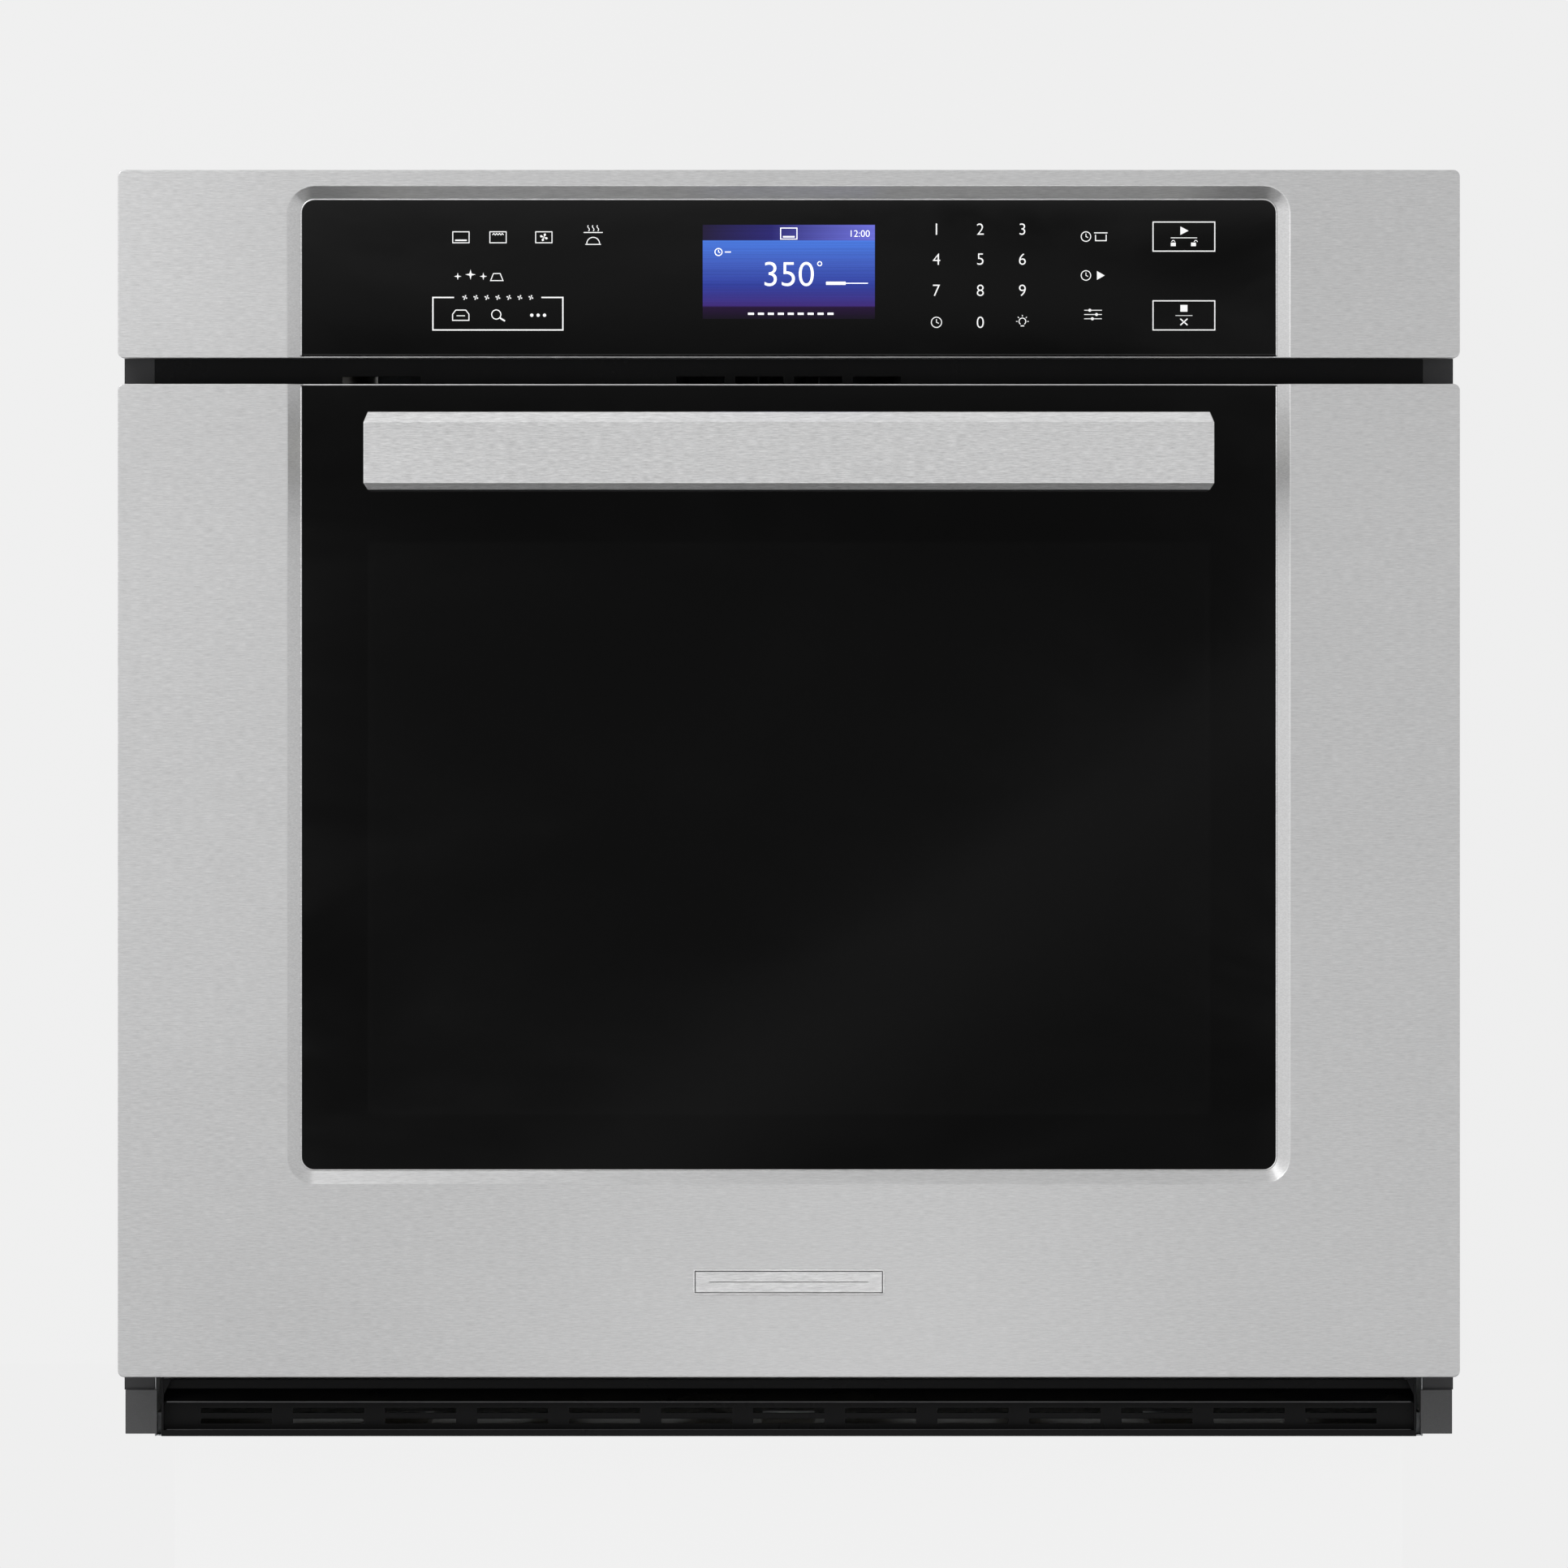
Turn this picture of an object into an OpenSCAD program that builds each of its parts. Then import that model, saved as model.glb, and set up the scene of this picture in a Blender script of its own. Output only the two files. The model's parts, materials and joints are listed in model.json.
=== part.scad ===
// Built-in single wall oven: a sheet-metal chassis that slides into a cabinet, a control
// panel, a drop-down door and the heating, cooling and latching parts inside.
// X runs left to right seen from the front. Y runs back into the cabinet, and is zero
// at the cabinet's face. Z runs up from the underside of the oven.

/* [Overall] */
// Width of the door and of the control panel
front_w = 756; // [752:1:760]
// Height from the underside to the top of the control panel
overall_h = 714; // [711:1:717]
// Distance that the front faces stand out from the cabinet's face
front_reach = 50; // [49:1:52]

/* [Chassis] */
// Width of the box that goes into the cabinet
body_w = 716; // [714:1:718]
// Height of the box that goes into the cabinet
body_h = 686; // [684:1:688]
// Depth of the box that goes into the cabinet
body_d = 590; // [585:1:600]
// Thickness of the galvanised panels
sheet_t = 1; // [0.8:0.1:1.2]
// Thickness of the front frame and of the side trims
frame_t = 1.5; // [1.2:0.1:1.6]

/* [Control panel and door skin] */
// Height of the control panel
fascia_h = 106; // [104:1:108]
// Air gap between the control panel and the door
air_gap = 14.5; // [13:0.5:15]
// Height of the ventilation strip below the door
louvre_h = 34; // [33:1:35]
// Thickness of the stainless skins
skin_t = 1.2; // [1:0.1:1.5]
// Thickness of the front glasses
glass_t = 4; // [3:0.5:4]
// Half the width of the sunk glass area, at the front
recess_half_w = 282.3; // [278:0.1:286]
// Depth of the sunk glass area
recess_d = 6; // [5:0.5:6]
// Width of the bevel round the sunk glass area
recess_bevel = 7.5; // [6:0.5:8]
// Steel above the sunk area of the control panel
fascia_border = 9; // [8:0.5:11]
// Steel below the sunk area of the door
door_border = 109; // [105:1:112]

/* [Handle] */
// Length of the handle
handle_len = 478; // [460:1:490]
// Height of the handle
handle_h = 43.9; // [42:0.1:46]
// Front to back thickness of the handle
handle_t = 22; // [18:1:24]
// Finger room between the glass and the handle
finger_gap = 34; // [30:1:38]
// Height of the middle of the handle above the underside
handle_z = 555.4; // [550:0.1:560]

/* [Oven cavity] */
// Width inside the cavity
cavity_w = 620; // [610:1:620]
// Height inside the cavity
cavity_h = 440; // [430:1:440]
// Depth inside the cavity
cavity_d = 490; // [485:1:490]
// Height of the cavity floor above the underside
cavity_floor = 82; // [82:1:84]
// Thickness of the enamelled liner
liner_t = 1.5; // [1.2:0.1:1.5]
// Distance between two rack levels
rack_pitch = 70.4; // [68:0.2:72]

/* [Hinges] */
// Distance of each hinge from the middle
hinge_x = 300; // [298:1:301]
// Distance of the hinge pins in front of the cabinet's face
hinge_reach = 20; // [19.5:0.1:20.5]
// Height of the hinge pins
hinge_z = 44; // [44:0.1:44.5]
// Radius of the hinge pins
hinge_pin_r = 4; // [3.5:0.1:4]
// Running clearance of the hinge pins in their arms
pin_clearance = 0.05; // [0.03:0.01:0.1]

/* [Hidden] */
$fn = 48;

// Round edges that are hulled
hull_fn = 32;
// A cut runs this far past the face that it opens
past = 1;
// Thickness of the thin slabs that a hull joins
slab = 0.01;

// Front planes and heights
front_y = -front_reach;
glass_y = front_y + recess_d;
glass_back_y = glass_y + glass_t;
fascia_z = overall_h - fascia_h;
door_top = fascia_z - air_gap;
door_bottom = louvre_h;
corner_r = 3.7;
recess_r = 15;
recess_slope = recess_bevel / recess_d;
recess_open = 40;
fascia_recess = [fascia_z - recess_open, overall_h - fascia_border];
door_recess = [door_bottom + door_border, door_top + recess_open];
glass_half_w = recess_half_w - 1.3;
collar_t = 1.5;

// Handle
handle_post_x = 215;
handle_back = glass_y - finger_gap;
handle_front = handle_back - handle_t;

// Chassis planes
half_body = body_w / 2;
half_in = half_body - sheet_t;
frame_top = 700;
trim_outer = front_w / 2 - 3;
trim_foot = 26.2;
deck_z = 560;
deck_t = 1.2;
deck_top = deck_z + deck_t;
flange_t = 1.5;

// Cavity
half_cavity = cavity_w / 2;
cavity_top = cavity_floor + cavity_h;
cavity_r = 12;
liner_front = -frame_t - flange_t;
liner_back = cavity_d + liner_t;
flange_w = 20;
gasket_front = -8.7;

// Door layers, from the inside to the front
door_back = -9;
liner_plane = door_back - skin_t;
skin_back = -28;
pane_t = 3;
liner_half_w = 341;
liner_z = [60, door_top - 5.5];
pane_half_w = 258;
pane_z = [162, 522];
window_half_w = 245;
window_z = [175, 509];

// Hinges
pivot_y = -hinge_reach;
arm_t = 6;
arm_h = 12;
arm_reach = 80;
eye_r = 7;
lever_len = 20;
lever_angle = 100;
lever_w = 6.5;
lever_tip_r = 4;
cheek_gap = 7;
cheek_t = 1.5;
channel_top = 252;
slot_half_w = 7.5;
receiver_d = 70;
receiver_z = [hinge_z - 8, hinge_z + 16];
spring_r = 6;
spring_wire_room = 4.2;
spring_z = [92, 240];
rod_z_low = 74;
notch_top = 74;

// Racks and their guides
guide_r = 2.5;
guide_low = 124;
guide_levels = 5;
guide_y = [30, 455];
rack_lift = 5.6;
rack_level_low = guide_low + rack_pitch + rack_lift;
rack_level_high = guide_low + 3 * rack_pitch + rack_lift;
rack_side_x = 299;
rack_y = [15, 450];
rack_rod_r = 3;
rack_wire_r = 1.75;
rack_wires = 15;

// Convection group, on the rear wall
fan_z = 302;
fan_r = 75;
fan_cover_y = 464;
fan_cover_half_w = 150;
fan_cover_half_h = 128;
fan_shaft_r = 4;
element_r = 4;
bend_r = 4.3;
element_hole_r = 5;
ring_r = 115;
ring_end_x = 25;
ring_end_angle = asin(ring_end_x / ring_r);
ring_end_z = fan_z - ring_r * cos(ring_end_angle);
bake_z = 70;
broil_z = 505;
terminal_x = 250;

// Lamps and probe
lamp_x = 235;
lamp_z = 440;
probe_x = -200;
probe_z = 480;

// Cooling blower, in the top compartment
blower_y = 260;
blower_r = 82;
blower_z = [deck_top + 6, 628];
wheel_r = 68;
duct_half_w = 66;
duct_mouth_z = [576, 602];

// Vent slots, latch and door switch in the front frame
vent_w = 27;
vent_pitch = 33.2;
slots_z = [580, 598];
latch_x = -243;
latch_y = 18;
latch_pin_r = 3;
latch_slot_x = [-252, -208];
latch_slot_z = [576, 598];
latch_notch_z = 562;
hook_z = [582, 585];
hook_len = 35;
hook_w = 8;
switch_x = 230;
switch_z = 585;
plunger_r = 4;

// Screws, with the places of the rear and liner screws in X and Z
screw_r = 3.5;
screw_h = 1.8;
shank_r = 1.7;
rear_screws = concat([for (x = [-330, -110, 110, 330], z = [12, 300, 570]) [x, z]],
                     [for (x = [-345, 345]) [x, 672]]);
liner_screws = [for (x = [-331, 331], z = [90, 330, 565]) [x, z]];
mount_hole_r = 2.5;
mount_x = 366.5;
mount_z = [120, 520];

// Supply box at the rear
supply_x = [215, 325];
supply_z = [600, 680];
supply_depth = 68;
knockout_r = 11.1;
cover_screws = [for (x = [supply_x[0] - 4, supply_x[1] + 4]) [x, (supply_z[0] + supply_z[1]) / 2]];

// ---------------------------------------------------------------- shared shapes

// A box, given as the low and high value along each axis
module block(x, y, z) {
    translate([x[0], y[0], z[0]])
        cube([x[1] - x[0], y[1] - y[0], z[1] - z[0]]);
}

// A flat shape drawn in X and Z, given a thickness from y[0] to y[1]
module upright(y) {
    translate([0, y[1], 0])
        rotate([90, 0, 0])
            linear_extrude(y[1] - y[0])
                children();
}

// A flat shape drawn in Y and Z, given a thickness from x[0] to x[1]
module sideways(x) {
    translate([x[0], 0, 0])
        rotate([90, 0, 90])
            linear_extrude(x[1] - x[0])
                children();
}

module rod_x(x, y, z, r) {
    translate([x[0], y, z])
        rotate([0, 90, 0])
            cylinder(r = r, h = x[1] - x[0]);
}

module rod_y(x, y, z, r) {
    translate([x, y[1], z])
        rotate([90, 0, 0])
            cylinder(r = r, h = y[1] - y[0]);
}

module rod_z(x, y, z, r) {
    translate([x, y, z[0]])
        cylinder(r = r, h = z[1] - z[0]);
}

module both_sides() {
    children();
    mirror([1, 0, 0])
        children();
}

// Range from -v to v
function span(v) = [-v, v];

// A range widened by d at both ends
function wider(r, d) = [r[0] - d, r[1] + d];

// Outline of a rectangle with round corners
function rounded(x, z, r, steps = 6) = [
    for (corner = [0:3], i = [0:steps])
        let (a = 90 * (corner + i / steps),
             cx = corner == 0 || corner == 3 ? x[1] - r : x[0] + r,
             cz = corner < 2 ? z[1] - r : z[0] + r)
        [cx + r * cos(a), cz + r * sin(a)]
];

// An upright plate with round corners
module panel(x, y, z, r) {
    upright(y)
        polygon(rounded(x, z, r));
}

// The sunk area with its sloping sides between two depths, made larger by grow
module recess(z, y, grow = 0) {
    hull() {
        for (depth = y) {
            inset = recess_slope * (depth - front_y) - grow;
            panel(span(recess_half_w - inset), [depth, depth + slab],
                  [z[0] + inset, z[1] - inset], recess_r - inset);
        }
    }
}

// A folded stainless skin with a sunk area and a rim that turns in at the back
module recessed_skin(z, recess_z, back_y, rim_x, rim_z) {
    difference() {
        union() {
            difference() {
                panel(span(front_w / 2), [front_y, back_y], z, corner_r);
                panel(span(front_w / 2 - skin_t), [front_y + skin_t, back_y - skin_t],
                      wider(z, -skin_t), corner_r - skin_t);
            }
            intersection() {
                recess(recess_z, [front_y, glass_y - slab], collar_t);
                block(span(front_w / 2), [front_y, glass_y], z);
            }
        }
        recess(recess_z, [front_y - recess_d / 8, glass_y + past]);
        block(rim_x, [back_y - skin_t - past, back_y + past], rim_z);
    }
}

// A sheathed heating element's half-round bend in the X and Y plane
module element_bend(x, y, z, radius, turn) {
    translate([x, y, z])
        rotate([0, 0, turn])
            rotate_extrude(angle = 180)
                translate([radius, 0])
                    circle(r = bend_r);
}

// A pan-head screw with its head on the +Y side
module screw_back(x, y, z, length) {
    rod_y(x, [y, y + screw_h], z, screw_r);
    rod_y(x, [y - length, y], z, shank_r);
}

// Clearance holes for screws through a plate that lies between y[0] and y[1]
module screw_holes(places, y) {
    for (p = places)
        rod_y(p[0], wider(y, past), p[1], shank_r + 0.2);
}

// ---------------------------------------------------------------- chassis

module front_frame() {
    color("darkslategray")
    difference() {
        panel(span(half_body), [-frame_t, 0], [louvre_h, frame_top], corner_r);
        panel(span(half_cavity + liner_t + 0.5), [-frame_t - past, past],
              [cavity_floor - liner_t - 0.5, cavity_top + liner_t + 0.5], cavity_r + liner_t + 0.5);
        both_sides()
            block([hinge_x - slot_half_w, hinge_x + slot_half_w], [-frame_t - past, past],
                  wider(receiver_z, -1.5));
        for (i = [-1.5:1:1.5])
            block([i * vent_pitch - vent_w / 2, i * vent_pitch + vent_w / 2],
                  [-frame_t - past, past], slots_z);
        block(latch_slot_x, [-frame_t - past, past], latch_slot_z);
        rod_y(switch_x, [-frame_t - past, past], switch_z, plunger_r + 0.6);
        cable_window = 40;
        block(span(cable_window), [-frame_t - past, past], [fascia_z + 20, fascia_z + 60]);
    }
}

// Angle that screws to the cabinet; the fold lies against the side panel
module side_trim() {
    fold_d = 25;
    color("dimgray")
    difference() {
        union() {
            block([half_body, trim_outer], [-frame_t, 0], [trim_foot, frame_top]);
            block([half_body, half_body + frame_t], [0, fold_d], [trim_foot, body_h]);
        }
        for (z = mount_z)
            rod_y(mount_x, [-frame_t - past, past], z, mount_hole_r);
    }
}

module side_trim_left() {
    mirror([1, 0, 0])
        side_trim();
}

module side_trim_right() {
    side_trim();
}

module side_panel() {
    slot_rows = [90, 130, 170];
    slot_len = 60;
    slot_h = 5;
    color("lightgray")
    difference() {
        union() {
            block([half_in, half_body], [0, body_d], [0, body_h]);
            rib_d = 30;
            for (z = [0, body_h - sheet_t])
                block([half_in - 12, half_in], [rib_d, body_d - rib_d],
                      [z == 0 ? sheet_t : z - 12, z == 0 ? sheet_t + 12 : z]);
        }
        for (y = slot_rows)
            block([half_in - 20, half_body + past], [body_d - y - slot_len / 2, body_d - y + slot_len / 6],
                  [body_h - 50 - slot_h, body_h - 50]);
    }
}

module side_panel_left() {
    mirror([1, 0, 0])
        side_panel();
}

module side_panel_right() {
    side_panel();
}

module rear_panel() {
    louvre_w = 60;
    louvre_slot_h = 5;
    color("lightgray")
    difference() {
        block(span(half_in), [body_d - sheet_t, body_d], [0, body_h - sheet_t]);
        for (column = [-2:1], row = [0:5])
            block([column * 90 - louvre_w / 2, column * 90 + louvre_w / 2],
                  [body_d - sheet_t - past, body_d + past],
                  [590 + row * 14, 590 + row * 14 + louvre_slot_h]);
        for (column = [-3:3])
            block([column * 90 - louvre_w / 2, column * 90 + louvre_w / 2],
                  [body_d - sheet_t - past, body_d + past],
                  [30, 30 + louvre_slot_h]);
        block(wider(supply_x, -2), [body_d - sheet_t - past, body_d + past], wider(supply_z, -2));
        screw_holes(concat(rear_screws, cover_screws), [body_d - sheet_t, body_d]);
    }
}

module top_panel() {
    flange_h = 12;
    color("lightgray")
    difference() {
        union() {
            block(span(half_in), [0, body_d], [body_h - sheet_t, body_h]);
            block(span(half_in - 14), [0, sheet_t], [body_h - flange_h, body_h]);
        }
        for (column = [-2:2])
            block([column * 110 - 35, column * 110 + 35], [body_d - 120, body_d - 114],
                  [body_h - sheet_t - past, body_h + past]);
    }
}

module base_pan() {
    color("lightgray")
    difference() {
        union() {
            block(span(half_in), [12, body_d - sheet_t], [0, sheet_t]);
            for (x = [-220, 0, 220])
                block([x - 15, x + 15], [80, body_d - 80], [sheet_t, sheet_t + 4]);
        }
        for (x = [-260, -160, 160, 260], y = [120, 260, 400])
            block([x - 20, x + 20], [y, y + 6], [-past, sheet_t + past]);
    }
}

module cavity_liner() {
    half_out = half_cavity + liner_t;
    wall_z = [cavity_floor - liner_t, cavity_top + liner_t];
    color("#2b2f3a")
    difference() {
        union() {
            panel(span(half_out), [liner_front, liner_back], wall_z, cavity_r + liner_t);
            panel(span(half_cavity + flange_w), [liner_front, -frame_t],
                  [cavity_floor - flange_w, cavity_top + flange_w], cavity_r + flange_w);
        }
        panel(span(half_cavity), [liner_front - past, cavity_d],
              [cavity_floor, cavity_top], cavity_r);
        rod_y(0, [cavity_d - past, liner_back + past], fan_z, fan_shaft_r + 2);
        for (x = span(ring_end_x))
            rod_y(x, [cavity_d - past, liner_back + past], ring_end_z, element_hole_r);
        for (x = span(terminal_x))
            rod_y(x, [cavity_d - past, liner_back + past], broil_z, element_hole_r);
        for (x = span(lamp_x))
            rod_y(x, [cavity_d - past, liner_back + past], lamp_z, 22);
        rod_y(probe_x, [cavity_d - past, liner_back + past], probe_z, 3.6);
    }
}

module insulation_blanket() {
    gap = 0.5;
    outer_x = 345;
    color("khaki")
    difference() {
        block(span(outer_x), [1, liner_back + 30], [cavity_floor - 20, cavity_top + 22]);
        panel(span(half_cavity + liner_t + gap), [0, liner_back + gap],
              [cavity_floor - liner_t - gap, cavity_top + liner_t + gap], cavity_r + liner_t + gap);
        block(span(192), [10, 488], [cavity_floor - 17, cavity_floor]);
        for (x = span(180))
            rod_y(x, [440, liner_back + 40], bake_z, 6);
        block(span(64), [liner_back, liner_back + 40], [fan_z - 125, fan_z + 42]);
        for (x = span(lamp_x))
            rod_y(x, [liner_back, liner_back + 40], lamp_z, 33);
        for (x = span(terminal_x))
            rod_y(x, [liner_back, liner_back + 40], broil_z, 7);
        rod_y(probe_x, [liner_back, liner_back + 40], probe_z, 8);
    }
}

module door_gasket() {
    mid_x = half_cavity + 10;
    mid_r = cavity_r + 10;
    half_t = 2.8;
    color("dimgray")
    upright([gasket_front, liner_front])
        difference() {
            polygon(rounded(span(mid_x + half_t), [cavity_floor - 10 - half_t, cavity_top + 10 + half_t],
                            mid_r + half_t));
            polygon(rounded(span(mid_x - half_t), [cavity_floor - 10 + half_t, cavity_top + 10 - half_t],
                            mid_r - half_t));
        }
}

// Wire ladder on the cavity's side wall
module rack_guide() {
    upright_x = half_cavity - 3.5;
    rail_x = upright_x - 4.5;
    color("silver") {
        for (y = [60, 240, 430])
            rod_z(upright_x, y, [cavity_floor + 14, cavity_top - 22], guide_r);
        for (level = [0:guide_levels - 1])
            rod_y(rail_x, guide_y, guide_low + level * rack_pitch, guide_r);
        for (z = [cavity_floor + 22, cavity_top - 30])
            rod_x([upright_x, half_cavity], 240, z, guide_r + 1.5);
    }
}

module rack_guide_left() {
    mirror([1, 0, 0])
        rack_guide();
}

module rack_guide_right() {
    rack_guide();
}

// ---------------------------------------------------------------- racks

module rack(z) {
    wire_step = 2 * rack_side_x / (rack_wires + 1);
    back_rise = 14;
    color("silver") {
        both_sides()
            rod_y(rack_side_x, rack_y, z, rack_rod_r);
        for (y = [rack_y[0] + 2.6, rack_y[1] - 2.6])
            rod_x(span(rack_side_x), y, z, rack_rod_r - 0.4);
        for (y = [140, 300])
            rod_x(span(rack_side_x), y, z - rack_rod_r - 0.4, rack_rod_r - 0.6);
        for (i = [1:rack_wires])
            rod_y(i * wire_step - rack_side_x, [rack_y[0] + 1.5, rack_y[1] - 1.5], z, rack_wire_r);
        both_sides()
            rod_z(rack_side_x - 8, rack_y[1] - 2.6, [z, z + back_rise], rack_wire_r);
        rod_x(span(rack_side_x - 8), rack_y[1] - 2.6, z + back_rise, rack_wire_r - 0.15);
    }
}

module rack_upper() {
    rack(rack_level_high);
}

module rack_lower() {
    rack(rack_level_low);
}

// ---------------------------------------------------------------- heating and convection

module fan_cover() {
    slot_in = [24, 66];
    color("#343a46")
    difference() {
        panel(span(fan_cover_half_w), [fan_cover_y, cavity_d],
              [fan_z - fan_cover_half_h, fan_z + fan_cover_half_h], 20);
        panel(span(fan_cover_half_w - skin_t), [fan_cover_y + skin_t, cavity_d + past],
              [fan_z - fan_cover_half_h + skin_t, fan_z + fan_cover_half_h - skin_t], 20 - skin_t);
        for (i = [0:19])
            translate([0, 0, fan_z])
                rotate([0, i * 18, 0])
                    block([slot_in[0], slot_in[1]], [fan_cover_y - past, fan_cover_y + 2 * skin_t],
                          span(2.5));
        for (i = [-3:3]) {
            block([i * 38 - 14, i * 38 + 14], [fan_cover_y + 8, fan_cover_y + 14],
                  span(fan_cover_half_h + past) + [fan_z, fan_z]);
            block(span(fan_cover_half_w + past), [fan_cover_y + 8, fan_cover_y + 14],
                  [fan_z + i * 32 - 11, fan_z + i * 32 + 11]);
        }
    }
}

module convection_element() {
    ring_y = 478;
    color("gray") {
        translate([0, ring_y, fan_z])
            rotate([90, 0, 0])
                rotate([0, 0, ring_end_angle - 90])
                    rotate_extrude(angle = 360 - 2 * ring_end_angle)
                        translate([ring_r, 0])
                            circle(r = element_r);
        for (x = span(ring_end_x))
            rod_y(x, [ring_y - element_r - 0.4, liner_back + 24], ring_end_z, bend_r);
    }
}

module convection_fan() {
    blade_count = 8;
    hub_r = 12;
    disc_y = 480;
    color("silver")
    union() {
        rod_y(0, [disc_y, disc_y + 1.2], fan_z, fan_r);
        rod_y(0, [disc_y - 11, disc_y + 4], fan_z, hub_r);
        for (i = [0:blade_count - 1])
            translate([0, 0, fan_z])
                rotate([0, i * 360 / blade_count, 0])
                    block([hub_r - 2, fan_r - 4], [disc_y - 11, disc_y + 0.6], span(0.6));
        rod_y(0, [disc_y + 3, liner_back + 28], fan_z, fan_shaft_r);
    }
}

module convection_motor() {
    bracket_y = liner_back + 10;
    color("darkgray")
    difference() {
        union() {
            block(span(56), [bracket_y, bracket_y + 1.5], [fan_z - 18, fan_z + 18]);
            for (side = [-1, 1])
                block([side * 56 - 2, side * 56 + 2], [liner_back, bracket_y + 1.5],
                      [fan_z - 18, fan_z + 18]);
            rod_y(0, [bracket_y + 1.4, bracket_y + 44], fan_z, 34);
            rod_y(0, [bracket_y + 43, bracket_y + 52], fan_z, 12);
            rod_y(0, [bracket_y - 6, bracket_y + 1], fan_z, 10);
        }
        rod_y(0, [bracket_y - 7, bracket_y + 20], fan_z, fan_shaft_r + pin_clearance);
    }
}

module bake_element() {
    z = bake_z;
    reach = [82, 418];
    color("#3a3a3a") {
        for (x = [-60, 60])
            rod_y(x, reach, z, element_r);
        for (x = [-180, 180])
            rod_y(x, [reach[0], liner_back + 40], z, element_r);
        for (x = [-120, 120])
            element_bend(x, reach[0] + 2, z, 60, 180);
        element_bend(0, reach[1] - 2, z, 60, 0);
    }
}

module broil_element() {
    z = broil_z;
    reach = [72, 402];
    color("#3a3a3a") {
        for (x = [-150, -50, 50, 150])
            rod_y(x, reach, z, element_r);
        for (x = span(terminal_x))
            rod_y(x, [reach[0], liner_back + 30], z, element_r);
        for (x = [-200, 0, 200])
            element_bend(x, reach[0] + 2, z, 50, 180);
        for (x = [-100, 100])
            element_bend(x, reach[1] - 2, z, 50, 0);
        for (y = [130, 330]) {
            block(span(262), [y - 4, y + 4], [z + element_r - 0.6, z + element_r + 1.4]);
            for (x = [-100, 100])
                block([x - 4, x + 4], [y - 4, y + 4], [z + element_r + 1, cavity_top]);
        }
    }
}

module temperature_probe() {
    color("silver") {
        rod_y(probe_x, [400, liner_back + 12], probe_z, 3);
        difference() {
            block([probe_x - 16, probe_x + 16], [cavity_d - 1.2, cavity_d], [probe_z - 7, probe_z + 7]);
            for (side = [-11, 11])
                rod_y(probe_x + side, [cavity_d - 2, cavity_d + past], probe_z, 1.8);
        }
    }
}

module lamp_housings() {
    color("lightgray")
    for (x = span(lamp_x))
        difference() {
            union() {
                rod_y(x, [liner_back, liner_back + 1.2], lamp_z, 32);
                rod_y(x, [liner_back + 1, liner_back + 42], lamp_z, 27);
            }
            rod_y(x, [liner_back - past, liner_back + 40], lamp_z, 25.8);
        }
}

module lamp_lenses() {
    color("white")
    for (x = span(lamp_x))
        difference() {
            union() {
                rod_y(x, [cavity_d - 3, cavity_d], lamp_z, 29);
                rod_y(x, [cavity_d - 16, cavity_d - 2], lamp_z, 24);
            }
            rod_y(x, [cavity_d - 14, cavity_d + past], lamp_z, 21.5);
        }
}

module lamp_bulbs() {
    color("ivory")
    for (x = span(lamp_x)) {
        rod_y(x, [cavity_d - 8, liner_back + 20], lamp_z, 8);
        rod_y(x, [liner_back + 19, liner_back + 40], lamp_z, 13);
    }
}

// ---------------------------------------------------------------- cooling and electrics

module blower_housing() {
    t = 1.2;
    mouth_y = blower_y - 95;
    color("lightgray")
    difference() {
        union() {
            rod_z(0, blower_y, blower_z, blower_r);
            block(span(duct_half_w), [mouth_y, blower_y], blower_z);
            for (side = [-1, 1])
                block([side * 76 - 8, side * 76 + 8], [blower_y - 8, blower_y + 8],
                      [deck_top, blower_z[0] + 1]);
        }
        rod_z(0, blower_y, wider(blower_z, -t), blower_r - t);
        block(span(duct_half_w - t), [mouth_y - past, blower_y], wider(blower_z, -t));
        rod_z(0, blower_y, [blower_z[1] - 2 * t, blower_z[1] + past], 46);
    }
}

module blower_wheel() {
    z = [blower_z[0] + 8, blower_z[1] - 12];
    blades = 24;
    color("silver") {
        rod_z(0, blower_y, [z[0], z[0] + 1.5], wheel_r);
        rod_z(0, blower_y, [z[0], z[1] - 12], 10);
        rod_z(0, blower_y, [z[0], blower_z[1] - 2], fan_shaft_r);
        for (i = [0:blades - 1])
            translate([0, blower_y, 0])
                rotate([0, 0, i * 360 / blades])
                    block([wheel_r - 16, wheel_r - 1.5], span(0.5), [z[0] + 1, z[1] - 1]);
        difference() {
            rod_z(0, blower_y, [z[1] - 1.5, z[1]], wheel_r);
            rod_z(0, blower_y, [z[1] - 3, z[1] + past], wheel_r - 17);
        }
    }
}

module blower_motor() {
    z = blower_z[1];
    color("darkgray")
    difference() {
        union() {
            rod_z(0, blower_y, [z + 6, z + 40], 36);
            rod_z(0, blower_y, [z - 16, z + 7], 9);
            for (a = [45:90:315])
                translate([0, blower_y, 0])
                    rotate([0, 0, a]) {
                        block([30, 66], span(5), [z + 6, z + 8]);
                        block([58, 66], span(5), [z, z + 7]);
                    }
            rod_z(0, blower_y, [z + 39, z + 48], 11);
        }
        rod_z(0, blower_y, [z - 17, z + 2], fan_shaft_r + pin_clearance);
    }
}

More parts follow.
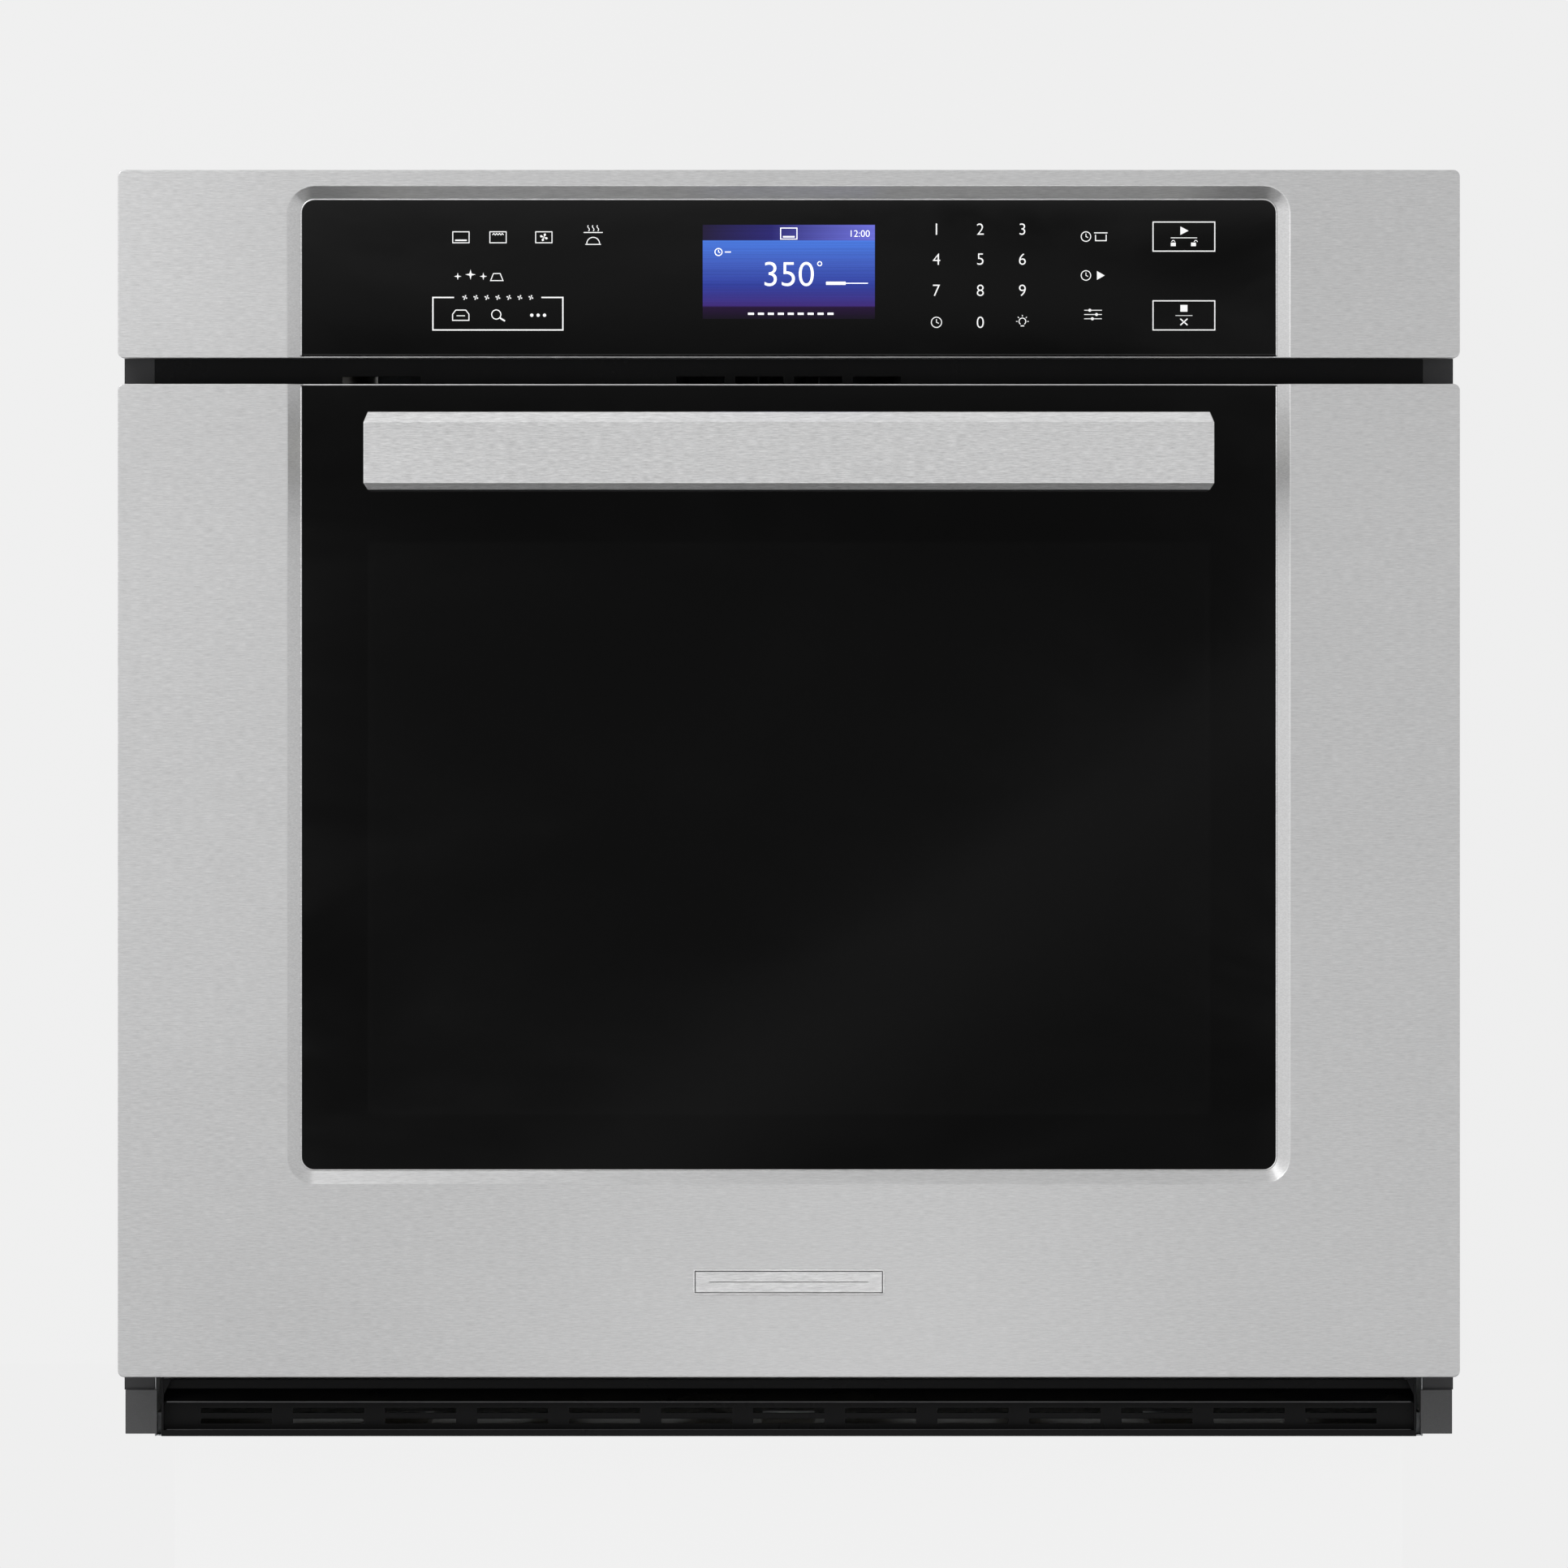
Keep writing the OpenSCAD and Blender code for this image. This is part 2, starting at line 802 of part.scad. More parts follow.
// Deck over the cavity, with the duct that leads the cooling air to the front slots
module duct_deck() {
    t = 1.2;
    duct_back = blower_y - 95;
    outer = [[0, duct_mouth_z[0]], [duct_back, blower_z[0]],
             [duct_back, blower_z[1]], [0, duct_mouth_z[1]]];
    inner = [[-past, duct_mouth_z[0] + t], [0, duct_mouth_z[0] + t],
             [duct_back, blower_z[0] + t], [duct_back + past, blower_z[0] + t],
             [duct_back + past, blower_z[1] - t], [duct_back, blower_z[1] - t],
             [0, duct_mouth_z[1] - t], [-past, duct_mouth_z[1] - t]];
    color("lightgray") {
        block(span(half_in - 5), [0, body_d - sheet_t], [deck_z, deck_top]);
        for (side = [-1, 1])
            block([side * 50 - 10, side * 50 + 10], [duct_back - 30, duct_back - 20],
                  [deck_top - 0.2, blower_z[0] + 1.2]);
        difference() {
            sideways(span(duct_half_w))
                polygon(outer);
            sideways(span(duct_half_w - t))
                polygon(inner);
        }
    }
}

module power_board() {
    board_z = deck_top + 10;
    color("seagreen") {
        block([110, 300], [300, 480], [board_z, board_z + 1.6]);
        for (x = [120, 290], y = [310, 470])
            rod_z(x, y, [deck_top, board_z], 3.5);
    }
    color("dimgray") {
        block([120, 165], [410, 455], [board_z + 1.6, board_z + 36]);
        for (i = [0:4])
            block([185 + i * 21, 201 + i * 21], [430, 458], [board_z + 1.6, board_z + 20]);
        for (i = [0:2])
            rod_z(140 + i * 22, 340, [board_z + 1.6, board_z + 26], 8);
        block([200, 290], [312, 322], [board_z + 1.6, board_z + 12]);
        block([215, 250], [355, 390], [board_z + 1.6, board_z + 4]);
    }
}

module junction_box() {
    t = 1.2;
    y = [body_d - sheet_t - supply_depth, body_d - sheet_t];
    middle_x = (supply_x[0] + supply_x[1]) / 2;
    color("lightgray") {
        difference() {
            block(supply_x, y, supply_z);
            block(wider(supply_x, -t), [y[0] + t, y[1] + past], wider(supply_z, -t));
            rod_y(supply_x[0] + 20, [y[0] - past, y[0] + 2 * t], supply_z[0] + 20, 8);
        }
        for (i = [-1:1])
            block([middle_x + i * 18 - 7, middle_x + i * 18 + 7], [y[0] + t, y[0] + 24],
                  [supply_z[0] + 44, supply_z[0] + 66]);
    }
}

module junction_cover() {
    middle_x = (supply_x[0] + supply_x[1]) / 2;
    middle_z = (supply_z[0] + supply_z[1]) / 2;
    color("silver")
    difference() {
        panel(wider(supply_x, 8), [body_d, body_d + 1.2], wider(supply_z, 2), 4);
        rod_y(middle_x, [body_d - past, body_d + 2 * past + 1], middle_z, knockout_r);
        screw_holes(cover_screws, [body_d, body_d + 1.2]);
    }
}

// ---------------------------------------------------------------- latch and door switch

module latch_base() {
    plate_z = [575, 577.5];
    color("lightgray") {
        difference() {
            block([-290, -200], [4, 112], plate_z);
            rod_z(-255, 86, [plate_z[0] - past, plate_z[1] + past], 8);
        }
        for (x = [-285, -215], y = [10, 100])
            block([x, x + 10], [y, y + 8], [deck_top, plate_z[0]]);
        rod_z(latch_x, latch_y, [plate_z[1], hook_z[0] - 0.3], latch_pin_r + 3);
        rod_z(latch_x, latch_y, [hook_z[0] - 0.4, hook_z[1] + 0.3], latch_pin_r);
        rod_z(latch_x, latch_y, [hook_z[1] + 0.3, hook_z[1] + 2], latch_pin_r + 2);
    }
}

module latch_motor() {
    color("darkgray") {
        rod_z(-255, 86, [577.5, 600], 22);
        block([-281, -229], [81, 91], [577.5, 580]);
        rod_z(-255, 86, [600, 606], 6);
    }
}

// At rest the hook lies inside, along the front frame; it turns out towards the door
module latch_hook() {
    barb = 8;
    barb_w = 5;
    half_w = hook_w / 2;
    color("silver")
    difference() {
        union() {
            rod_z(latch_x, latch_y, hook_z, 8);
            block([latch_x, latch_x + hook_len], [latch_y - half_w, latch_y + half_w], hook_z);
            block([latch_x + hook_len - barb_w, latch_x + hook_len],
                  [latch_y - half_w - barb, latch_y - half_w + 1], hook_z);
            block([latch_x - 5, latch_x + 5], [latch_y, latch_y + 26], hook_z);
        }
        rod_z(latch_x, latch_y, wider(hook_z, past), latch_pin_r + pin_clearance);
    }
}

module switch_body() {
    half = 14;
    color("ivory")
    difference() {
        union() {
            block([switch_x - half, switch_x + half], [0, 34], [switch_z - 11, switch_z + 13]);
            block([switch_x - 12, switch_x + 12], [4, 30], [deck_top, switch_z - 10]);
            for (i = [-1:1])
                block([switch_x + i * 8 - 2, switch_x + i * 8 + 2], [33, 42],
                      [switch_z - 0.4, switch_z + 0.4]);
        }
        rod_y(switch_x, [-past, 22], switch_z, plunger_r + pin_clearance);
    }
}

module switch_plunger() {
    color("black")
        rod_y(switch_x, [gasket_front, 18], switch_z, plunger_r);
}

// ---------------------------------------------------------------- ventilation strip

module vent_louvre() {
    half = half_body - 5;
    front = -7;
    back = 12;
    blade = [[front, 18.7], [front + 1.2, 20.1], [back, 27], [back, 25.6], [front + 1.6, 18.7]];
    color("gray") {
        block(span(half), [front, back], [0, 1.2]);
        block(span(half), [front, front + 1.4], [0, 3.5]);
        sideways(span(half))
            polygon(blade);
        difference() {
            block(span(half), [back - 1.2, back], [1, louvre_h - 2.2]);
            for (i = [-6:6], z = [7, 13])
                block([i * 52 - 20, i * 52 + 20], [back - 1.2 - past, back + past], [z, z + 2.5]);
        }
        both_sides() {
            block([half - 0.2, half + 1.2], [front, back], [0, louvre_h - 1]);
            upright([front + 1, front + 2.2])
                polygon([[half - 4.5, louvre_h - 1.5], [half, 22.4], [half, louvre_h - 1.5]]);
        }
    }
}

module vent_caps() {
    x = [half_body - 1.4, trim_outer - 0.6];
    z = [1.4, trim_foot];
    t = 1;
    color("darkgray")
    both_sides()
        difference() {
            block(x, [-8, 0], z);
            block(wider(x, -t), [-8 + t, past], wider(z, -t));
        }
}

// ---------------------------------------------------------------- control panel

module control_fascia() {
    back = -6;
    color("silver")
        recessed_skin([fascia_z, overall_h], fascia_recess, back,
                      span(front_w / 2 - 8), [fascia_z + 8, overall_h - 8]);
}

module control_glass() {
    color("#101010")
        block(span(glass_half_w), [glass_y, glass_back_y],
              [fascia_z + skin_t + 0.3, overall_h - fascia_border - 1.3]);
}

module display_module() {
    board_y = [-36, -34.4];
    color("darkgreen")
        block(span(262), board_y, [fascia_z + 14, overall_h - 18]);
    color("black") {
        block(span(54), [glass_back_y + 0.4, board_y[0]], [fascia_z + 22, overall_h - 24]);
        for (x = [-230, -180, 150, 200, 240])
            block([x - 8, x + 8], [board_y[1], board_y[1] + 8], [fascia_z + 30, fascia_z + 52]);
    }
}

// Tray that closes the back of the control panel
module control_housing() {
    x = span(front_w / 2 - skin_t - 1);
    z = [fascia_z + skin_t + 0.6, overall_h - skin_t - 0.6];
    rim_x = span(front_w / 2 - 9);
    rim_z = [fascia_z + 9, overall_h - 9];
    color("lightgray")
    difference() {
        union() {
            block(x, [-32, -6 - skin_t - 0.3], z);
            block(rim_x, [-9, -frame_t], rim_z);
        }
        block(wider(x, -skin_t), [-33, -8.7], wider(z, -skin_t));
        block(wider(rim_x, -skin_t), [-10, -frame_t - skin_t], wider(rim_z, -skin_t));
        block(span(38), [-frame_t - skin_t - past, 0], [fascia_z + 22, fascia_z + 58]);
    }
}

// ---------------------------------------------------------------- door

module door_skin() {
    half_notch = cheek_gap + cheek_t + 0.5;
    color("silver")
    difference() {
        recessed_skin([door_bottom, door_top], door_recess, skin_back,
                      span(liner_half_w), [liner_z[0], door_top + past]);
        both_sides()
            block([hinge_x - half_notch, hinge_x + half_notch],
                  [skin_back - skin_t - past, skin_back + past],
                  [door_bottom + skin_t, liner_z[0] + past]);
    }
}

module door_glass() {
    color("#0c0c0c")
    difference() {
        block(span(glass_half_w), [glass_y, glass_back_y],
              [door_bottom + door_border + 1.3, door_top - skin_t - 0.3]);
        for (x = span(handle_post_x))
            rod_y(x, [glass_y - past, glass_back_y + past], handle_z, 4.4);
    }
}

module door_liner() {
    wall_t = skin_t;
    half_notch = cheek_gap + cheek_t + 1;
    color("#2b2f3a")
    difference() {
        union() {
            panel(span(liner_half_w), [liner_plane, door_back], liner_z, 4);
            difference() {
                block(span(liner_half_w), [skin_back, liner_plane + 0.2], liner_z);
                block(span(liner_half_w - wall_t), [skin_back - past, door_back],
                      wider(liner_z, -wall_t));
            }
        }
        panel(span(window_half_w), [liner_plane - past, door_back + past], window_z, 12);
        both_sides()
            block([hinge_x - half_notch, hinge_x + half_notch], [skin_back - past, door_back + past],
                  [liner_z[0] - past, notch_top]);
        block([latch_slot_x[0], latch_slot_x[1] + 2], [skin_back - past, door_back + past],
              [latch_notch_z, liner_z[1] + past]);
        screw_holes(liner_screws, [liner_plane, door_back]);
    }
}

// Two inner panes, one behind the other
module inner_glass_pack() {
    color("lightcyan") {
        panel(span(pane_half_w), [skin_back - pane_t, skin_back], pane_z, 4);
        panel(span(pane_half_w), [liner_plane - pane_t, liner_plane], pane_z, 4);
    }
}

module door_insulation() {
    edge = 5;
    color("khaki")
    difference() {
        block(span(liner_half_w - edge), [skin_back, liner_plane - pane_t], wider(liner_z, -edge));
        block(span(pane_half_w - 6), [skin_back - past, door_back], wider(pane_z, -6));
        both_sides()
            block([hinge_x - 12, hinge_x + 12], [skin_back - past, door_back],
                  [liner_z[0], channel_top + 6]);
        block([latch_slot_x[0] - 10, latch_slot_x[1] + 12], [skin_back - past, door_back],
              [liner_z[1] - 28, liner_z[1]]);
    }
}

module door_top_trim() {
    t = 4;
    color("#303030")
    difference() {
        block(span(liner_half_w - 1), [glass_back_y + 1, door_back], [liner_z[1], liner_z[1] + t]);
        for (i = [-5:5])
            block([i * 52 - 16, i * 52 + 16], [-36, -33], [liner_z[1] - past, liner_z[1] + t + past]);
    }
}

// Bar with a flat face, wide bevels above and below, and closed ends
module handle_bar() {
    z = [handle_z - handle_h / 2, handle_z + handle_h / 2];
    top_bevel = 5.9;
    bottom_bevel = 3.7;
    back_bevel = 2.8;
    end_bevel = 2.4;
    wall = 2;
    half = handle_len / 2;
    profile = [[handle_front, z[0] + bottom_bevel], [handle_front + bottom_bevel, z[0]],
               [handle_back - back_bevel, z[0]], [handle_back, z[0] + back_bevel],
               [handle_back, z[1] - back_bevel], [handle_back - back_bevel, z[1]],
               [handle_front + top_bevel, z[1]], [handle_front, z[1] - top_bevel]];
    outline = [[-half + end_bevel, z[0]], [half - end_bevel, z[0]], [half, z[0] + bottom_bevel],
               [half, z[1] - top_bevel], [half - end_bevel, z[1]], [-half + end_bevel, z[1]],
               [-half, z[1] - top_bevel], [-half, z[0] + bottom_bevel]];
    color("silver")
    difference() {
        intersection() {
            sideways(span(half))
                polygon(profile);
            upright([handle_front, handle_back])
                polygon(outline);
        }
        block(span(half - wall), [handle_front + top_bevel, handle_back - wall],
              [z[0] + back_bevel, z[1] - back_bevel]);
        for (x = span(handle_post_x))
            rod_y(x, [handle_back - wall - past, handle_back + past], handle_z, 3);
    }
}

// Posts behind the bar, with their studs and the nuts behind the glass
module handle_mounts() {
    color("gray")
    for (x = span(handle_post_x)) {
        rod_y(x, [handle_back, glass_y], handle_z, 9);
        rod_y(x, [handle_back - 6, handle_back + 1], handle_z, 2.9);
        rod_y(x, [glass_y - 1, glass_back_y + 1], handle_z, 4);
        rod_y(x, [glass_back_y, glass_back_y + 4], handle_z, 7.5);
    }
}

module badge_plate() {
    half_w = 54;
    half_h = 7.3;
    z = 87.6;
    color("gray")
        panel(span(half_w), [front_y - 0.8, front_y], [z - half_h, z + half_h], 2);
}

module door_screws() {
    color("dimgray")
    for (p = liner_screws)
        screw_back(p[0], door_back, p[1], 3);
}

// ---------------------------------------------------------------- hinges

// Fixed arm: an eye on the pin, a tongue into the receiver and a lever for the spring
module hinge_arms() {
    half_h = arm_h / 2;
    tongue_end = pivot_y + arm_reach;
    notch_y = [44, 52];
    color("dimgray")
    both_sides()
        difference() {
            sideways([hinge_x - arm_t / 2, hinge_x + arm_t / 2])
                union() {
                    translate([pivot_y, hinge_z])
                        circle(r = eye_r);
                    polygon([[pivot_y, hinge_z - half_h], [notch_y[0], hinge_z - half_h],
                             [notch_y[0], hinge_z - 1], [notch_y[1], hinge_z - 1],
                             [notch_y[1], hinge_z - half_h], [tongue_end - 4, hinge_z - half_h],
                             [tongue_end, hinge_z - 2], [tongue_end, hinge_z + half_h],
                             [pivot_y, hinge_z + half_h]]);
                    translate([pivot_y, hinge_z])
                        rotate(lever_angle) {
                            translate([0, -lever_w / 2])
                                square([lever_len, lever_w]);
                            translate([lever_len, 0])
                                circle(r = lever_tip_r);
                        }
                }
            rod_x([hinge_x - arm_t, hinge_x + arm_t], pivot_y, hinge_z, hinge_pin_r + pin_clearance);
            translate([0, lever_len * cos(lever_angle), lever_len * sin(lever_angle)])
                rod_x([hinge_x - arm_t, hinge_x + arm_t], pivot_y, hinge_z, 1.6);
        }
}

module hinge_receivers() {
    half = slot_half_w + 1.5;
    color("dimgray")
    both_sides() {
        difference() {
            block([hinge_x - half, hinge_x + half], [0, receiver_d], receiver_z);
            block([hinge_x - slot_half_w, hinge_x + slot_half_w], [-past, receiver_d - 1.5],
                  wider(receiver_z, -1.5));
        }
        rod_x([hinge_x - half + 0.5, hinge_x + half - 0.5], 48, hinge_z - 4.5, 2.4);
    }
}

module hinge_channels() {
    web_y = [-31, -29];
    cheek_y = [-29, -12];
    color("gray")
    both_sides()
        difference() {
            union() {
                for (side = [-1, 1])
                    block([hinge_x + (side > 0 ? cheek_gap : -cheek_gap - cheek_t),
                           hinge_x + (side > 0 ? cheek_gap + cheek_t : -cheek_gap)],
                          [web_y[0], cheek_y[1]], [hinge_z - 7, channel_top]);
                block([hinge_x - cheek_gap - 0.2, hinge_x + cheek_gap + 0.2], web_y,
                      [hinge_z + 10, channel_top]);
                block([hinge_x - cheek_gap - 0.2, hinge_x + cheek_gap + 0.2], [web_y[1] - 0.2, cheek_y[1]],
                      [spring_z[1], spring_z[1] + 3]);
            }
            rod_x([hinge_x - 12, hinge_x + 12], pivot_y, hinge_z, hinge_pin_r);
        }
}

module hinge_pins() {
    collar = [arm_t / 2 + 0.3, cheek_gap - 0.05];
    head = cheek_gap + cheek_t;
    color("silver")
    both_sides() {
        rod_x([hinge_x - head - 1, hinge_x + head + 1], pivot_y, hinge_z, hinge_pin_r);
        rod_x([hinge_x + collar[0], hinge_x + collar[1]], pivot_y, hinge_z, hinge_pin_r + 2);
        rod_x([hinge_x - collar[1], hinge_x - collar[0]], pivot_y, hinge_z, hinge_pin_r + 2);
        rod_x([hinge_x + head, hinge_x + head + 2], pivot_y, hinge_z, hinge_pin_r + 2);
        rod_x([hinge_x - head - 2, hinge_x - head], pivot_y, hinge_z, hinge_pin_r + 2);
    }
}

module hinge_springs() {
    color("darkgray")
    both_sides()
        difference() {
            rod_z(hinge_x, pivot_y, spring_z, spring_r);
            rod_z(hinge_x, pivot_y, [spring_z[0] - past, spring_z[1] - 2], spring_wire_room);
        }
}

module spring_rods() {
    rod_r = 2.4;
    color("silver")
    both_sides() {
        rod_z(hinge_x, pivot_y, [rod_z_low, spring_z[0]], rod_r);
        rod_z(hinge_x, pivot_y, [spring_z[0] - 3, spring_z[0]], spring_r - 0.4);
    }
}

// ---------------------------------------------------------------- screws

module chassis_screws() {
    color("gray") {
        for (p = rear_screws)
            screw_back(p[0], body_d, p[1], 4);
        for (p = cover_screws)
            screw_back(p[0], body_d + 1.2, p[1], 4);
    }
}

// ---------------------------------------------------------------- output

front_frame();
side_trim_left();
side_trim_right();
side_panel_left();
side_panel_right();
rear_panel();
top_panel();
base_pan();
cavity_liner();
insulation_blanket();
door_gasket();
rack_guide_left();
rack_guide_right();
fan_cover();
convection_element();
convection_motor();
bake_element();
broil_element();
temperature_probe();
lamp_housings();
lamp_lenses();
lamp_bulbs();
blower_housing();
blower_motor();
duct_deck();
vent_louvre();
vent_caps();
control_fascia();
control_glass();
display_module();
control_housing();
power_board();
junction_box();
junction_cover();
latch_base();
latch_motor();
switch_body();
hinge_receivers();
hinge_arms();
chassis_screws();
door_skin();
door_glass();
door_liner();
inner_glass_pack();
door_insulation();
door_top_trim();
handle_bar();
handle_mounts();
hinge_channels();
hinge_pins();
hinge_springs();
badge_plate();
door_screws();
spring_rods();
rack_upper();
rack_lower();
convection_fan();
blower_wheel();
latch_hook();
switch_plunger();
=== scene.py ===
"""Looks of the built-in wall oven: finishes, fine pieces, printed marks, lights and camera."""

import json
import math

import bmesh
import bpy
from mathutils import Matrix, Vector


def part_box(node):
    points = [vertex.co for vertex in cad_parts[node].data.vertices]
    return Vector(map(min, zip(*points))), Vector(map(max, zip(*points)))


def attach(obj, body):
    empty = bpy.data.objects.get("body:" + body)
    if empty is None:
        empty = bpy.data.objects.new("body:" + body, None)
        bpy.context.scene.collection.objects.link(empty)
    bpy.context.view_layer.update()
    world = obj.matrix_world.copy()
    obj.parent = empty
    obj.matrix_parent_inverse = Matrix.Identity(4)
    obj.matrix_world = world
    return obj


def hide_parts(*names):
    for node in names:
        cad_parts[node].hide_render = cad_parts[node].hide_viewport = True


MM = 0.001

# Edge rounding of the carried-over CAD nodes, in millimetres
EDGE = 0.3
EDGE_OF = {"handle_bar": 0.7, "control_glass": 0.8, "door_glass": 0.8, "badge_plate": 0.25,
           "handle_mounts": 0.5, "junction_cover": 0.3, "insulation_blanket": 6.0,
           "door_insulation": 2.0, "blower_motor": 0.8, "convection_motor": 0.8,
           "inner_glass_pack": 0.6, "vent_louvre": 0.45, "door_skin": 0.55, "control_fascia": 0.55}
EDGE_SEGMENTS = 2
SHARP_ANGLE = math.radians(32)
FLAT_ANGLE = math.radians(0.4)
WELD_GAP = 0.004

# Window in the door glass, and the beads along the bright edges of folded and cut sheet, in millimetres;
# the folded sheet's bead is painted paler as a highlight
WINDOW_HALF_W = 238
WINDOW_Z = (181, 505)
BEAD_RADIUS = 0.45
BEAD_CORNER = 7.5

# Printed marks: stroke widths and layer gaps, in millimetres
STROKE = 0.5
THIN_STROKE = 0.45
PRINT_PROUD = 0.06
PRINT_DEPTH = 0.05

# The camera looks straight at the front through a long lens
CAMERA_DISTANCE = 20.0
CAMERA_X = -2.7 * MM
CAMERA_Z = 368.1 * MM
VIEW_WIDTH = 883.1 * MM
SENSOR = 36.0

BACKDROP = 0.863


# ------------------------------------------------------------------ finishes

class Nodes:
    """Adds nodes to a shader tree. A kind is Blender's own name without its first two words."""

    def __init__(self, tree):
        self.tree = tree

    def add(self, kind, inputs=None, **settings):
        node = self.tree.nodes.new("ShaderNode" + kind)
        for name, value in settings.items():
            setattr(node, name, value)
        for name, value in (inputs or {}).items():
            if isinstance(value, bpy.types.NodeSocket):
                self.tree.links.new(value, node.inputs[name])
            else:
                node.inputs[name].default_value = value
        return node

    def calc(self, operation, a, b):
        return self.add("Math", {0: a, 1: b}, operation=operation).outputs["Value"]

    def times(self, a, b):
        return self.calc("MULTIPLY", a, b)

    def plus(self, a, b):
        return self.calc("ADD", a, b)


class Finish(Nodes):
    """A procedural material, built up on a Principled shader in object space."""

    def __init__(self, name, colour, roughness, metallic=0.0):
        self.material = bpy.data.materials.new(name)
        self.material.use_nodes = True
        super().__init__(self.material.node_tree)
        self.shader = self.tree.nodes["Principled BSDF"]
        self.set("Base Color", (*colour, 1.0))
        self.set("Roughness", roughness)
        self.set("Metallic", metallic)
        self.place = self.add("TexCoord").outputs["Object"]

    def set(self, socket, value):
        self.shader.inputs[socket].default_value = value

    def drive(self, socket, output):
        self.tree.links.new(output, self.shader.inputs[socket])

    def stretched(self, scale):
        """Object space, scaled by so much along each axis."""
        return self.add("Mapping", {"Vector": self.place, "Scale": scale}).outputs["Vector"]

    def noise(self, scale, detail=4.0, rough=0.5, distortion=0.0):
        """Noise with so many features per metre along each axis."""
        node = self.add("TexNoise", {"Vector": self.stretched(scale), "Scale": 1.0,
                                     "Detail": detail, "Roughness": rough,
                                     "Distortion": distortion})
        return node.outputs["Fac"]

    def cells(self, scale, output="Distance", feature="F1", randomness=1.0, vector=None):
        """Cells, so many per metre."""
        node = self.add("TexVoronoi", {"Vector": vector or self.place, "Scale": scale,
                                       "Randomness": randomness}, feature=feature)
        return node.outputs[output]

    def remap(self, value, start, end, low, high):
        return self.add("MapRange", {"Value": value, "From Min": start, "From Max": end,
                                     "To Min": low, "To Max": high}).outputs["Result"]

    def ramp(self, value, stops):
        node = self.add("ValToRGB", {"Fac": value})
        points = node.color_ramp.elements
        while len(points) < len(stops):
            points.new(0.5)
        for point, (position, colour) in zip(points, stops):
            point.position = position
            point.color = (*colour, 1.0)
        return node.outputs["Color"]

    def bump(self, height, distance, strength=1.0, under=None):
        inputs = {"Height": height, "Distance": distance, "Strength": strength}
        if under is not None:
            inputs["Normal"] = under
        return self.add("Bump", inputs).outputs["Normal"]

    def tint(self, value, stops):
        """Colours the surface by a value, through the stops."""
        self.drive("Base Color", self.ramp(value, stops))

    def gloss(self, value, low, high):
        """Makes the roughness follow a noise, from low to high."""
        self.drive("Roughness", self.remap(value, 0.3, 0.7, low, high))

    def relief(self, *bump):
        self.drive("Normal", self.bump(*bump))

    def axes(self):
        return self.add("SeparateXYZ", {"Vector": self.place}).outputs

    def mix(self, a, share_a, b, share_b):
        return self.plus(self.times(a, share_a), self.times(b, share_b))


def grey(value, tint=(1.0, 1.0, 1.0)):
    return tuple(value * t for t in tint)


def brushed(name, level, roughness, contrast, tint):
    """Steel brushed along X: short streaks in colour, gloss and relief, with faint wiping marks."""
    f = Finish(name, grey(level, tint), roughness, 1.0)
    fine = f.noise((170, 900, 1700), 3.0, 0.7)
    broad = f.noise((30, 300, 600), 4.0, 0.65)
    wiped = f.noise((2.2, 2.2, 5.0), 3.0, 0.5, 0.6)
    streak = f.mix(fine, 0.8, broad, 0.2)
    tone = f.mix(streak, 0.85, wiped, 0.15)
    f.tint(tone, [(0.32, grey(level * (1 - contrast), tint)), (0.68, grey(level * (1 + contrast), tint))])
    f.gloss(tone, roughness - 0.05, roughness + 0.06)
    f.relief(streak, 0.00002, 0.6)
    f.set("Anisotropic", 0.5)
    f.set("Anisotropic Rotation", 0.25)
    tangent = f.add("Tangent", direction_type="RADIAL", axis="Z")
    f.drive("Tangent", tangent.outputs["Tangent"])
    return f


def stainless():
    return brushed("stainless", 0.70, 0.36, 0.16, (1.0, 1.0, 1.003))


def handle_steel():
    return brushed("handle_steel", 0.80, 0.34, 0.26, (1.0, 1.0, 1.003))


def black_glass():
    """Glass over black print, with a trace of wiping."""
    f = Finish("black_glass", grey(0.0026), 0.04)
    f.set("IOR", 1.5)
    wiped = f.noise((5, 5, 9), 4.0, 0.6, 0.8)
    dust = f.cells(900)
    f.drive("Roughness", f.remap(wiped, 0.35, 0.75, 0.03, 0.075))
    speck = f.remap(dust, 0.03, 0.06, 0.012, 0.0)
    level = f.plus(f.times(speck, wiped), f.remap(wiped, 0.3, 0.7, 0.0008, 0.0020))
    f.drive("Base Color", level)
    return f


def window_glass():
    """Black glass with a fine dot screen over the window, dark glass between the dots."""
    half_w = WINDOW_HALF_W * MM
    z_low = WINDOW_Z[0] * MM
    z_high = WINDOW_Z[1] * MM
    fade = 4 * MM
    f = black_glass()
    f.material.name = "window_glass"
    axes = f.axes()
    across = f.remap(f.calc("ABSOLUTE", axes["X"], 0.0), half_w - fade, half_w, 1.0, 0.0)
    over = f.remap(axes["Z"], z_low, z_low + fade, 0.0, 1.0)
    under = f.remap(axes["Z"], z_high - fade, z_high, 1.0, 0.0)
    window = f.times(f.times(across, over), under)
    flat = f.add("CombineXYZ", {"X": axes["X"], "Y": axes["Z"], "Z": 0.0})
    turned = f.add("Mapping", {"Vector": flat.outputs["Vector"],
                               "Rotation": (0.0, 0.0, math.radians(45))})
    spot = f.cells(520, randomness=0.0, vector=turned.outputs["Vector"])
    hole = f.remap(spot, 0.36, 0.42, 0.0, 1.0)
    clear = f.times(window, hole)
    printed = f.times(window, f.remap(spot, 0.30, 0.42, 0.0013, 0.0))
    f.drive("Transmission Weight", f.times(clear, 0.8))
    f.drive("Base Color", f.plus(f.remap(clear, 0.0, 1.0, 0.0012, 0.009), printed))
    return f


